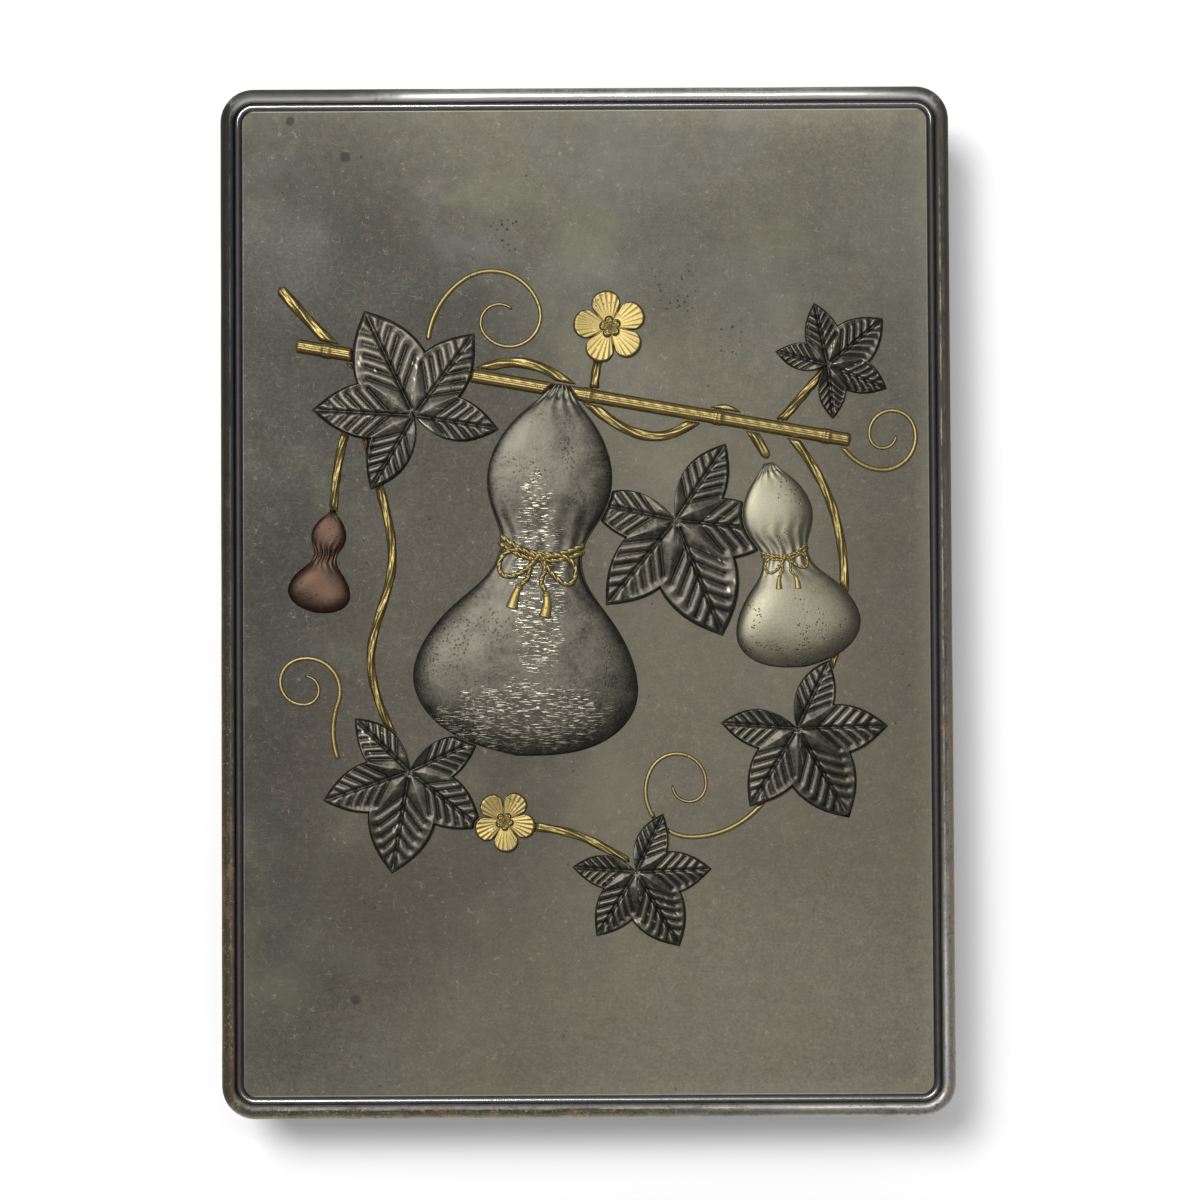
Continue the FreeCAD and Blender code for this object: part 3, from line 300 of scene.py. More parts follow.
def rim_silver(f):
    """Old silver, tarnished otherwise along each side, with a worn line on its crown. Painted light and
    shade go with the tarnish across each side, and a painted highlight runs along the far side.
    """
    x, y, z = f.axes()
    across, along = past_sides(x, y)
    inward = CORNER - (across**2 + along**2) ** 0.5
    share = inward / RIM_WIDTH
    far = (y - ENDS - x.plain()).rise(-5, 3)
    near = (-1 * y - ENDS - x.plain()).rise(-4, 4)
    left = x.rise(4, -4)
    nearer = y.rise(60, -100)
    blotch = f.cloud(6, 4, 0.65, warp=0.8)
    fine = f.cloud(0.9, 3, 0.7)
    across_grain = f.cloud((6, 0.4, 3), 3, 0.7)
    along_grain = f.cloud((0.4, 6, 3), 3, 0.7)
    grain = along_grain + far.most(near) * (across_grain - along_grain)
    uneven = 0.45 * (blotch - 0.5) + 0.25 * (fine - 0.5) + 0.3 * (grain - 0.5)

    # Tarnish with painted shade on the crown and painted light on the near end's outer slope.
    def tarnished(side):
        stops = [(at, *rgb) for at, rgb in zip(TONE_STOPS_AT, TARNISH_AND_SHADE[side])]
        return f.ramp(share + uneven, *stops)

    left_side = f.blend(nearer, tarnished("left_far"), tarnished("left_near"))
    right_side = f.blend(nearer, tarnished("right_far"), tarnished("right_near"))
    # A painted highlight along the far side, brightest on its inner half, dimmed by painted shade towards
    # the corners.
    far_highlight = f.ramp(share + uneven, (0.1, 70, 69, 65), (0.4, 170, 169, 162), (0.8, 206, 206, 203))
    far_shade = (x.away(12, 62) + 0.8 * (blotch - 0.5)).rise(0.4, 1.3)
    far_highlight = f.layers(far_highlight, (far_shade * share.rise(1.1, 0.6) * 0.85, 56, 54, 51))
    colour = f.blend(far, f.blend(left, right_side, left_side), far_highlight)
    silvered = x.rise(0, 76) * y.rise(-40, -112)
    brown = f.cloud(9, 4, 0.7, warp=1.2).rise(0.52, 0.66) * y.rise(30, -60)
    dark = f.cloud(14, 3, 0.7, warp=1).rise(0.56, 0.68)
    # Painted shade on the outer half of the sides near the far end.
    outer = share.rise(0.6, 0.35) * y.rise(10, 95) * (1 - far)
    worn = (inward - RIM_WORN + 0.5 * (fine - 0.5)).plain().rise(0.22, 0.06)
    worn *= f.cloud(7, 3, 0.7).rise(0.4, 0.6)
    specks = f.cloud(0.7, 3, 0.8, warp=0.5).rise(0.55, 0.64) * f.cloud(4, 3, 0.7).rise(0.4, 0.54)
    dots = f.cloud(0.8, 3, 0.8, warp=0.5).rise(0.45, 0.37) * f.cloud(5, 3, 0.7).rise(0.6, 0.46)
    mitre = (across - along).plain().rise(2.4, 1.2) * across.least(along).rise(0.5, 2)
    solder = mitre * f.cloud(1.6, 4, 0.75, warp=1).rise(0.44, 0.56)
    colour = f.layers(
        f.blend(near, colour, tarnished("near")),
        (silvered * share.rise(0.15, 0.45) * 0.75, 146, 147, 145),
        (brown * 0.45, 146, 118, 94),
        (dark * 0.45, 70, 66, 58),
        (outer * 0.6, 46, 45, 41),
        (worn * (0.36 - 0.2 * far - 0.2 * left), 196, 186, 160),
        (specks * near.most(nearer * 0.7) * 0.75, 186, 168, 124),
        (dots * nearer.most(near) * 0.7, 44, 38, 32),
        (solder * 0.5, 158, 160, 152),
    )
    foot = f.ramp(uneven + 0.5, (0.3, 84, 80, 74), (0.55, 132, 128, 118), (0.75, 104, 96, 84))
    colour = f.blend(z.rise(rim_low.z + 1.6, rim_low.z + 0.2) * 0.8, colour, foot)
    lit = far * x.away(18, 66).rise(1.3, 0.1)
    rough = 0.66 - 0.39 * lit - 0.22 * silvered + 0.1 * brown + 0.12 * solder
    rough += (0.18 * (blotch - 0.5) + 0.16 * (fine - 0.5)) * (1 - 0.75 * lit)
    scratches = f.cloud((0.5, 9, 2), 2, 0.6) + f.cloud((9, 0.5, 2), 2, 0.6)
    normal = f.bump(scratches * 0.3 + fine * 0.5 + grain, 0.014, f.bump(f.cloud(4), 0.05))
    return f.done(colour, rough, normal, metallic=0.72)


def bead_black(f):
    """Black lacquer, rubbed a little brown here and there and glossier at the two ends."""
    x, y, _ = f.axes()
    rubbed = f.cloud(3, 4, 0.7, warp=0.6)
    return f.done(
        f.ramp(rubbed, (0.35, 33, 31, 35), (0.75, 54, 47, 42)),
        0.55 + 0.1 * rubbed,
        f.bump(f.cloud(12), 0.006),
        coat_weight=(y.plain() - ENDS - x.plain()).rise(-6, 2),
        coat_roughness=0.22,
        coat_ior=2.4,
    )


def lacquer_black(f):
    """Mirror-black lacquer with a faint orange skin, rubbing marks and brown worn edges."""
    mouth = measure("box_mouth_band")[1].z
    x, y, z = f.axes()
    across, along = past_sides(x, y)
    skin = f.cloud(5)
    rub = f.cloud((2, 2, 0.4), 3, 0.65)
    ragged = f.cloud(2.2, 4, 0.7)
    wear = highest(
        across.least(along).rise(4.2, 6) * ragged.rise(0.5, 0.66),
        z.rise(5, 2.2) * ragged.rise(0.44, 0.62) * 0.8,
        (z - mouth).plain().rise(2.2, 1.2) * ragged.rise(0.5, 0.64) * 0.7,
    )
    bloom = f.cloud(22, 4, 0.6, warp=0.8).rise(0.4, 0.7)
    scuffs = f.cloud((7, 7, 0.12)).rise(0.66, 0.72)
    colour = f.layers(
        f.ramp(skin, (0.3, 12, 11, 12), (0.8, 24, 20, 20)),
        (bloom * 0.3, 46, 42, 40),
        (wear * 0.75, 84, 46, 30),
        (scuffs * 0.25, 92, 84, 78),
    )
    return f.done(
        colour,
        0.09 + 0.12 * rub + 0.12 * bloom + 0.25 * wear + 0.15 * scuffs,
        f.bump(rub * 0.3 + skin, 0.012),
        coat_weight=0.3 - 0.25 * wear,
        coat_roughness=0.06,
    )


def lacquer_fleck(f):
    """Amber lacquer strewn with gold flakes, under a clear coat."""
    depth = f.cloud(24, 3, 0.55)
    flake = f.cells(0.55, "Color")
    turn, shine = [f.node("SeparateColor", {0: flake}, channel) for channel in range(2)]
    shown = (turn + 0.35 * (f.cloud(13, 3, 0.6) - 0.5)).rise(0.6, 0.66)
    ground = f.ramp(depth, (0.3, 48, 25, 13), (0.7, 78, 44, 22))
    gold = f.ramp(shine, (0.1, 148, 98, 40), (0.6, 206, 154, 74), (0.95, 240, 204, 122))
    return f.done(
        f.blend(shown * 0.9, ground, gold),
        0.3 + 0.12 * f.cloud(0.5, 1) - 0.06 * shown,
        f.bump(shine * shown, 0.05),
        metallic=0.7 * shown,
        coat_weight=0.75 + 0.2 * depth,
        coat_roughness=0.08,
    )


def relief_metal(f, recess, body, ridge, roughness, pitting, combed=(), blush=None):
    """Chased metal: dark grooves, bright ridges that are partly a painted highlight, a painted highlight
    along the edge, pits, and short bright strokes in combed ovals.
    """
    x, y, z = f.axes()
    lift = z - PLATE_TOP
    low = lift.rise(0.75, 0.05)
    speckle = f.cloud(0.7, 3, 0.7)
    patches = f.cloud(9, 4, 0.65, warp=0.8)
    # Grooves and the foot are darkened as patina; ridges are lightened, partly as a painted highlight.
    shade = 0.5 + 0.2 * (patches - 0.5) + 0.17 * (speckle - 0.5) + 2 * (f.ridges() - 0.5) - 0.5 * low
    colour = f.ramp(shade, (0.05, *recess), (0.45, *body), (0.8, *ridge))
    if blush:
        colour = f.layers(colour, (f.cloud(13, 3, 0.6, warp=1).rise(0.46, 0.7) * 0.3, *blush))
    # A painted highlight in a band along the relief's edge, where it rises from the plate.
    contour_highlight = lift.rise(0.28, 0.34) * lift.rise(0.62, 0.46)
    colour = f.layers(colour, (contour_highlight * speckle, *ridge))
    height = 0.5 * speckle + 0.4 * f.cloud(2.4, 3, 0.6)
    for middle_x, middle_y, half_x, half_y in combed:
        strokes = f.cloud((2.2, 0.18, 0.9), 1.5, 0.5, warp=0.5).rise(0.54, 0.61)
        off = x.away(middle_x, half_x) + y.away(middle_y, half_y)
        hatch = strokes * (off + 1.2 * (patches - 0.5) + 1.8 * (f.cloud(2.4) - 0.5)).rise(1.25, 0.65)
        colour = f.layers(colour, (hatch * 0.85, 182, 177, 158))
        height += 1.2 * hatch
    pits = f.cells(0.8).rise(0.32, 0.16) * f.cloud(7, 3, 0.7).rise(0.5, 0.6)
    return f.done(
        f.layers(colour, (pits * pitting, *recess)),
        roughness + 0.16 * (speckle - 0.5) + 0.1 * (patches - 0.5) + 0.12 * low,
        f.bump(height - 1.2 * pits, 0.03),
        metallic=0.88,
    )


def silver_clean(f):
    """Polished silver, yellowed in places, with fine wiping marks."""
    patches = f.cloud(11, 4, 0.65, warp=0.8)
    wiping = f.cloud((6, 0.6, 0.6), 3, 0.6)
    return f.done(
        f.ramp(patches, (0.3, 196, 186, 166), (0.55, 216, 212, 204), (0.8, 150, 136, 112)),
        0.17 + 0.14 * wiping + 0.12 * patches,
        f.bump(wiping, 0.006),
        metallic=1,
    )


def stone(f):
    """Fine black slate with pale bands, and dried ink where it is ground and kept."""
    z = f.axes()[2]
    top = measure("ink_stone")[1].z
    bands = f.cloud((34, 9, 3), 4, 0.6, warp=0.7)
    grain = f.cloud(0.5, 3, 0.7)
    swirl = f.cloud((8, 22, 6), 3, 0.6, warp=1.6)
    ground = z.rise(top - 0.9, top - 1.7) * swirl.rise(0.42, 0.6) * 0.7
    wet = z.rise(top - 3, top - 6.5).most(ground)
    colour = f.layers(
        f.ramp(bands + 0.2 * (grain - 0.5), (0.3, 36, 38, 42), (0.62, 58, 60, 64), (0.8, 84, 84, 82)),
        (wet, 13, 13, 15),
        (f.ridges().rise(0.52, 0.58) * 0.5, 112, 112, 110),
    )
    return f.done(colour, 0.62 + 0.15 * (grain - 0.5) - 0.3 * wet, f.bump(grain * 0.6 + bands, 0.03))


GILT_LINES = (-3.2, -1.6, 0, 1.6, 3.2)  # how far each lies from the ink stick's middle
GILT_WAVE = 9  # length of a wave in them


def ink(f):
    """Pressed soot: matt black, with gilt waves in the sunk panel."""
    x, y, z = f.axes()
    low, high = measure("ink_stick")
    along = y - (low.y + high.y) / 2
    panel = z.rise(high.z - 0.2, high.z - 0.35) * z.rise(high.z - 1.2, high.z - 0.9)
    wave = 0.9 * (x * (2 * pi / GILT_WAVE)).math("SINE")
    lines = highest(*[(along - line - wave).plain().rise(0.34, 0.16) for line in GILT_LINES])
    gilt = panel * lines * f.cloud(0.8, 3, 0.7).rise(0.36, 0.5)
    soot = f.cloud(1.2, 4, 0.7)
    return f.done(
        f.layers(f.ramp(soot, (0.3, 21, 20, 22), (0.8, 44, 40, 38)), (gilt * 0.9, 196, 152, 72)),
        0.52 + 0.2 * (soot - 0.5) - 0.15 * gilt,
        f.bump(soot + 0.6 * gilt, 0.05),
        metallic=0.75 * gilt,
    )


def bamboo(f):
    """Smoked bamboo: long fibres, dark grooves, polished by the hand."""
    fibres = f.cloud((0.35, 14, 0.35), 4, 0.7)
    smoke = f.cloud((6, 30, 6), 3, 0.6, warp=0.4)
    grooves = f.ridges().rise(0.5, 0.44)
    shade = 0.5 * fibres + 0.5 * smoke
    colour = f.ramp(shade, (0.32, 104, 66, 34), (0.5, 160, 116, 66), (0.68, 196, 156, 100))
    return f.done(
        f.layers(colour, (grooves * 0.8, 58, 36, 20)),
        0.34 + 0.2 * (fibres - 0.5) + 0.1 * grooves,
        f.bump(fibres, 0.05),
        coat_weight=0.25 + 0.2 * smoke,
    )


def hair(f):
    """Pale goat hair, brown towards the root and grey with old ink at the point."""
    y = f.axes()[1]
    strands = f.cloud((0.16, 16, 0.16), 3, 0.65)
    colour = f.layers(
        f.ramp(strands, (0.3, 150, 128, 96), (0.55, 208, 192, 162), (0.8, 232, 222, 200)),
        (y.rise(70, 63) * 0.45, 128, 92, 58),
        (y.rise(82, 94) * 0.75, 70, 66, 64),
    )
    return f.done(colour, 0.55 + 0.2 * (strands - 0.5), f.bump(strands, 0.09))


def steel(f):
    """Ground steel with draw marks, darker towards the collar."""
    y = f.axes()[1]
    draw = f.cloud((5, 0.25, 5), 3, 0.7)
    rust = f.cloud(4.5, 4, 0.7, warp=0.6).rise(0.6, 0.75) * y.rise(60, 34)
    colour = f.ramp(draw, (0.3, 150, 152, 154), (0.7, 198, 199, 200))
    return f.done(
        f.layers(colour, (rust * 0.7, 92, 62, 44)),
        0.24 + 0.16 * (draw - 0.5) + 0.3 * rust,
        f.bump(draw, 0.006),
        metallic=1 - 0.6 * rust,
    )


COMBED = ((-16, -28, 20, 8), (-11.5, 4, 6, 24))  # on the large gourd: place and half widths
RELIEF_METALS = {  # colours of recess, body and ridge (ridge also the painted highlight), roughness, pitting, combed ovals and blush
    "inlay_silver": ((50, 48, 38), (86, 83, 69), (138, 134, 117), 0.4, 0.9),
    "inlay_copper": ((26, 19, 15), (42, 30, 23), (94, 70, 55), 0.42, 0.3, (), (56, 50, 42)),
    "inlay_dark": ((20, 18, 15), (34, 32, 27), (126, 122, 108), 0.39, 0.2, COMBED, (46, 42, 36)),
    "inlay_gold": ((52, 41, 23), (112, 97, 57), (172, 156, 102), 0.42, 0.3),
}
SLOTS = (plate_metal, rim_silver, bead_black, lacquer_black, lacquer_fleck, silver_clean, stone)
SLOTS += (ink, bamboo, hair, steel)
FINISHES = {make.__name__: make(Finish(make.__name__)) for make in SLOTS}  # by the name of their slot
FINISHES |= {name: relief_metal(Finish(name), *numbers) for name, numbers in RELIEF_METALS.items()}


# ---- Meshes ----


def mapped(across, along, place):
    """A mesh from a grid. place(u, v) takes its corners' shares, from 0 to 1, to points in mm."""
    mesh = bmesh.new()
    bmesh.ops.create_grid(mesh, x_segments=across, y_segments=along, size=0.5)
    shares = np.array([corner.co[:2] for corner in mesh.verts]) + 0.5
    points = place(shares[:, 0], shares[:, 1]) * MM
    for corner, point in zip(mesh.verts, points):
        corner.co = point
    bmesh.ops.remove_doubles(mesh, verts=mesh.verts, dist=WELD)
    return mesh


def settled(mesh, name):
    """A finished mesh that an object can have."""
    data = bpy.data.meshes.new(name)
    mesh.to_mesh(data)
    mesh.free()
    return data


def added(name, data):
    """An object of a mesh, a lamp or a camera, in the scene."""
    made = bpy.data.objects.new(name, data)
    bpy.context.scene.collection.objects.link(made)
    return made


def piece(name, mesh, body, slot, *nodes):
    """An object of a mesh: it rides on a body, has a slot's finish and stands for nodes."""
    bmesh.ops.recalc_face_normals(mesh, faces=mesh.faces)
    data = settled(mesh, name)
    data.shade_smooth()
    data.materials.append(FINISHES[slot])
    made = added(name, data)
    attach(made, body)
    if nodes:
        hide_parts(*nodes)


def joined(meshes):
    """Several meshes as one."""
    whole = bmesh.new()
    for mesh in meshes:
        data = settled(mesh, "part")
        whole.from_mesh(data)
        bpy.data.meshes.remove(data)
    return whole


def smooth_curve(points, count):
    """Evenly spaced points along the natural cubic spline through others."""
    points = np.array(points, float)
    gaps = np.linalg.norm(np.diff(points, axis=0), axis=1)
    knots = np.cumsum([0, *gaps])
    last = len(gaps)
    system = np.eye(last + 1)
    for k in range(1, last):
        system[k, k - 1 : k + 2] = gaps[k - 1], 2 * (gaps[k - 1] + gaps[k]), gaps[k]
    slopes = np.diff(points, axis=0) / gaps[:, None]
    target = np.pad(6 * np.diff(slopes, axis=0), ((1, 1), (0, 0)))
    bends = np.linalg.solve(system, target)
    at = np.linspace(0, knots[-1], count)
    k = np.clip(np.searchsorted(knots, at, side="right") - 1, 0, last - 1)
    gap = gaps[k][:, None]
    b = (at - knots[k])[:, None] / gap
    a = 1 - b
    bend = (a**3 - a) * bends[k] + (b**3 - b) * bends[k + 1]
    return a * points[k] + b * points[k + 1] + bend * gap**2 / 6


def span(points):
    """Length of the straight lines through some points."""
    return np.linalg.norm(np.diff(points, axis=0), axis=1).sum()


def segment_distance(points, starts, ends):
    """For each point, the distance to each of some line segments."""
    off = points[:, None] - starts
    step = ends - starts
    share = np.clip((off * step).sum(2) / np.maximum((step**2).sum(1), 1e-12), 0, 1)
    return np.sqrt(((off - share[:, :, None] * step) ** 2).sum(2))


def distance_to(points, outline):
    """Distances from points to a closed outline, minus inside it."""
    ends = np.roll(outline, -1, axis=0)
    gap = segment_distance(points, outline, ends).min(1)
    off = points[:, None] - outline
    step = ends - outline
    above = off[:, :, 1] >= 0
    next_above = np.roll(above, -1, axis=1)
    side = step[:, 0] * off[:, :, 1] - step[:, 1] * off[:, :, 0]
    crossed = (above != next_above) & ((side > 0) == next_above)
    return np.where(crossed.sum(1) % 2 == 1, -gap, gap)


def eased(share):
    """A share kept from 0 to 1, with a smooth start and end."""
    share = np.clip(share, 0, 1)
    return share * share * (3 - 2 * share)


def hump(off, width):
    """A soft hump: 1 in its middle, and about a third where it is off by its width."""
    return np.exp(-((off / width) ** 2))


def around(angle, reach):
    """Points at an angle from straight up and at a reach."""
    return np.stack([reach * np.sin(angle), reach * np.cos(angle)], 1)


def turned_about(points, x, y, degrees):
    """Points in a motif's own plane, turned and moved to its place on the plate."""
    c, s = cos(radians(degrees)), sin(radians(degrees))
    return points @ np.array([[c, s], [-s, c]]) + (x, y)


# ---- The lid's rim and bead ----

MOULDING_GRID = (560, 40)  # steps round the lid and round a section
SECTION_WALL = 0.1  # share of a section that each upright wall takes


def plan_points(share, inset):
    """Places round the lid as complex numbers, at a share of the way round and set in."""
    half_x, half_y = HALF_WIDTH - CORNER, HALF_LENGTH - CORNER
    arc = pi / 2 * CORNER
    lengths = [2 * half_y, arc, 2 * half_x, arc] * 2
    marks = np.cumsum([0, *lengths])
    way = share * marks[-1]
    plan = np.zeros(len(share), complex)
    for leg, length in enumerate(lengths):
        here = (way >= marks[leg]) & (way <= marks[leg + 1])
        along = way[here] - marks[leg]
        corner, turning = divmod(leg, 2)
        centre = complex(half_x * (1, -1, -1, 1)[corner], half_y * (1, 1, -1, -1)[corner])
        out = np.exp(1j * (corner * pi / 2 + turning * along / CORNER))
        plan[here] = centre + out * (CORNER - inset[here] - 1j * (1 - turning) * (length - along))
    return plan


def edging(name, slot, node, profile):
    """A moulding round the lid. profile(v, u) gives its set-in and its height."""

    def place(u, v):
        inset, height = profile(v, u)
        plan = plan_points(u, inset)
        return np.column_stack([plan.real, plan.imag, height])

    piece(name, mapped(*MOULDING_GRID, place), "lid", slot, node)


def rolled(v, outer, crown, inner, low, high, outer_roll, inner_roll):
    """Set-in and height at a share v of the way round a section with a rounded top.

    outer, crown and inner are set-ins, low and high are heights, and the rolls are how high its two
    shoulders are rounded.
    """
    angle = np.clip((v - SECTION_WALL) / (1 - 2 * SECTION_WALL), 0, 1) * pi
    outside = angle < pi / 2
    inset = crown - np.cos(angle) * np.where(outside, crown - outer, inner - crown)
    roll = np.where(outside, outer_roll, inner_roll)
    height = high - roll * (1 - np.sin(angle))
    wall = np.minimum(v, 1 - v) / SECTION_WALL
    return inset, np.where(wall < 1, low + (high - roll - low) * wall, height)


def make_rim():
    """A half-round silver rim, a little uneven as hand-drawn wire is."""

    def profile(v, u):
        levels = rim_low.z, rim_high.z - RIM_SPARE
        inset, height = rolled(v, 0, RIM_CROWN, RIM_WIDTH, *levels, RIM_ROLL, RIM_INNER_ROLL)
        uneven = 0.025 * np.sin(u * 61) + 0.02 * np.sin(u * 149 + 1.3)
        return inset + np.maximum(uneven, 0), height + np.minimum(uneven, 0)

    edging("lid_rim_silver", "rim_silver", "lid_rim", profile)


def make_bead():
    """The black bead between rim and plate."""

    def profile(v, u):
        outer = HALF_WIDTH - bead_high.x
        inner = HALF_WIDTH - PLATE_X - BEAD_GAP
        crown = (inner + outer) / 2
        inset, height = rolled(v, outer, crown, inner, bead_low.z, bead_high.z, BEAD_ROLL, BEAD_ROLL)
        return inset, height + np.minimum(0.02 * np.sin(u * 97), 0)

    edging("lid_bead_black", "bead_black", "lid_bead", profile)


# ---- The raised inlay ----

GOURD_SHAPE = [  # share of the length from the stem, and radius as such a share
    (0, 0.022), (0.03, 0.045), (0.09, 0.1), (0.17, 0.15), (0.26, 0.168), (0.35, 0.145), (0.43, 0.112),
    (0.5, 0.122), (0.6, 0.2), (0.72, 0.282), (0.83, 0.3), (0.92, 0.245), (0.975, 0.14), (1, 0),
]
GOURD_WAIST = 0.43  # share of the length from the stem
GOURD_WIDEST = max(radius for _, radius in GOURD_SHAPE)
GOURD_EDGE = 0.3  # upright edge round a gourd
GOURD_SPARE = 0.2  # kept under its full relief for flutes and waves
GOURD_OVER = 0.6  # share of its section that is its top
FLUTE_DEPTH = 0.1
GOURDS = {  # slot, length, relief, place of the stem, angle in degrees
    "inlay_gourd_large": ("inlay_dark", 90, 3, -6, 52, -7),
    "inlay_gourd_small": ("inlay_silver", 50, 2.5, 44, 33, 10),
    "inlay_gourd_young": ("inlay_copper", 25, 1.8, -61, 22, -10),
}
LEAF_LOBES = [(0, 1, 0.62), (1.12, 0.9, 0.56), (2.22, 0.8, 0.6)]  # angle, length and half width
LEAVES = [  # radius, place of the stalk, angle in degrees; the first lie on top
    (27, -42, 46, 25),
    (29, 22, 18, -158),
    (24, -43, -42, 170),
    (24, 51, -32, -150),
    (17, 59, 57, -50),
    (20, 12, -66, -150),
]
VEIN_MARKS = (0.24, 0.38, 0.52, 0.66, 0.8)  # where side veins leave a main vein, as shares of it
VEIN_TURN = 0.78
FLOWERS = [(9, 6, 66, 10), (7.5, -20, -53, 40)]  # radius, place, angle in degrees
PETAL_TURN = 2 * pi / 5
BAR = (136, -70, 62, -10)  # length, place and angle in degrees
BAR_JOINTS = (0.05, 0.285, 0.52, 0.755, 0.95)
BAR_RADIUS = 1.8
TENDRIL_RADIUS = 0.6
VINES = [  # radius, then points; the main vine first
    (1.3, (-74, 76), (-65, 66), (-54, 56), (-38, 49), (-22, 57), (-10, 56), (4, 45), (20, 40), (33, 46),
     (44, 34)),
    (1.1, (-55, 47), (-50, 28), (-47, 8), (-52, -12), (-45, -36)),
    (1.1, (-42, -44), (-32, -52), (-20, -54), (-4, -56), (10, -63)),
    (1.1, (-50, 54), (-57, 43), (-60, 32), (-61, 21)),
    (1.1, (48, 41.6), (57, 28), (62, 8), (60, -12), (52, -30)),
    (1.1, (46, 42), (53, 50), (59, 57)),
    (1.1, (2, 50), (3, 58), (6, 66)),
]
TENDRILS = [  # start, heading in degrees, and arcs: each a radius and degrees to turn left
    (-38, 63, 85, [(20, -50), (12, -110), (7.5, -160), (4.5, -170)]),
    (61, 39, -70, [(12, 60), (8, 120), (5.5, 170), (3.2, 170)]),
    (-60, -38, 110, [(20, -40), (8, 130), (5.5, 170), (3.4, 170)]),
    (44, -46, -120, [(22, -60), (11, -120), (7, -160), (4, -170)]),
]
TIED_LENGTH = 90  # length of the gourd that the cord's places are given for
CORD_RADIUS = 0.62
CORD_RUNS = [  # points from the gourd's stem, and how far the run lies over the gourd
    ([(-10.3, -37.6), (-5, -40.3), (0, -41), (5, -40.3), (10.3, -37.6)], 0),
    ([(-10.5, -39.2), (-5, -41.9), (0, -42.6), (5, -41.9), (10.5, -39.2)], 0),
    ([(-1, -42), (-5.2, -40.6), (-9.4, -43.2), (-8.6, -47), (-4.4, -46.2), (-1.2, -42.6)], 0.35),
    ([(0.6, -42), (4.6, -40.9), (8.8, -43.9), (7.8, -47.4), (3.9, -46), (0.8, -42.6)], 0.35),
    ([(-0.4, -42.2), (-2.2, -44.6), (-2.4, -47), (-4, -49)], 0.3),
    ([(0.2, -42.2), (1.4, -45), (0.9, -47.6), (2.4, -50)], 0.3),
    ([(-1.3, -42.9), (-0.2, -41.4), (1, -42.7)], 0.75),
]
TASSELS = [  # the same for its two tassels
    ([(-3.9, -48.8), (-4.8, -51.5), (-5.4, -55)], 0.1),
    ([(2.3, -49.8), (2.9, -52.5), (2.7, -56.2)], 0.1),
]
TUCK = 0.8  # how near to what lies over it a motif sinks to the plate
VINE_TUCK = 0.35
SUNK = -0.25  # height, from the plate's top, of what lies out of sight
PAD_TOP = 0.9  # share of a leaf's or flower's grid that is its top
WIRE_TOP = 0.75  # share of a wire's section that is its top


def laid(flat, height, covers=(), reach=TUCK):
    """A motif's points in the model, from their places and their heights over the plate.

    Its top sinks where another motif covers it, so that it ends in a fine groove.
    """
    for cover in covers:
        low, high = cover.min(0) - reach, cover.max(0) + reach
        near = np.all((flat > low) & (flat < high), axis=1)
        if near.any():
            kept = SUNK + (height[near] - SUNK) * eased(distance_to(flat[near], cover) / reach)
            height[near] = np.where(height[near] > 0, kept, height[near])
    return np.column_stack([flat, height + PLATE_TOP])


def gourd_side(length):
    """One side of a gourd in its own plane, hanging from (0, 0)."""
    return smooth_curve([(length * radius, -length * share) for share, radius in GOURD_SHAPE], 90)


def gourd_outline(length, *placing):
    right = gourd_side(length)
    left = right[::-1] * (-1, 1)
    return turned_about(np.concatenate([right, left[1:]]), *placing)


def gourd_rise(length, relief):
    """How much a gourd rises over its edge for each millimetre of its radius."""
    return (relief - GOURD_EDGE - GOURD_SPARE) / (length * GOURD_WIDEST)


def leaf_radius(angle):
    """Outline of a leaf of radius 1: five pointed lobes, and a notch at the stalk."""
    away = np.abs(angle)
    lobes = [length - 0.42 * (np.abs(away - middle) / half) ** 0.9 for middle, length, half in LEAF_LOBES]
    return np.max(lobes, axis=0) * (1 - 0.74 * hump(pi - away, 0.34))


def from_petal(angle):
    """How far an angle is from its petal's middle: 0 there and 1 between two petals."""
    return np.abs((angle + PETAL_TURN / 2) % PETAL_TURN - PETAL_TURN / 2) / (PETAL_TURN / 2)


def petal_radius(angle):
    """Outline of a flower of radius 1 with five round petals."""
    return 0.45 + 0.55 * np.sqrt(np.maximum(1 - from_petal(angle) ** 2.2, 0))


def pad_outline(shape, count, radius, *placing):
    """Outline on the plate of a leaf or flower. shape(angle) is that of radius 1."""
    angle = np.linspace(-pi, pi, count, endpoint=False)
    return turned_about(around(angle, radius * shape(angle)), *placing)


def pad(grid, shape, radius, placing, surface, crowding=1, covers=()):
    """Mesh of a leaf or flower. surface(flat, angle, share) is the height of its top.

    share goes from 0 in the middle to 1 at the outline, and crowding under 1 sets its rings closer there.
    """

    def place(u, v):
        angle = (u - 0.5) * 2 * pi
        top = np.clip(v / PAD_TOP, 0, 1) ** crowding
        share = np.where(v <= PAD_TOP, top, np.clip((1 - v) / (1 - PAD_TOP) * 2, 0, 1))
        flat = around(angle, radius * shape(angle) * share)
        height = np.where(v > PAD_TOP, SUNK, surface(flat, angle, share))
        return laid(turned_about(flat, *placing), height, covers)

    return mapped(*grid, place)


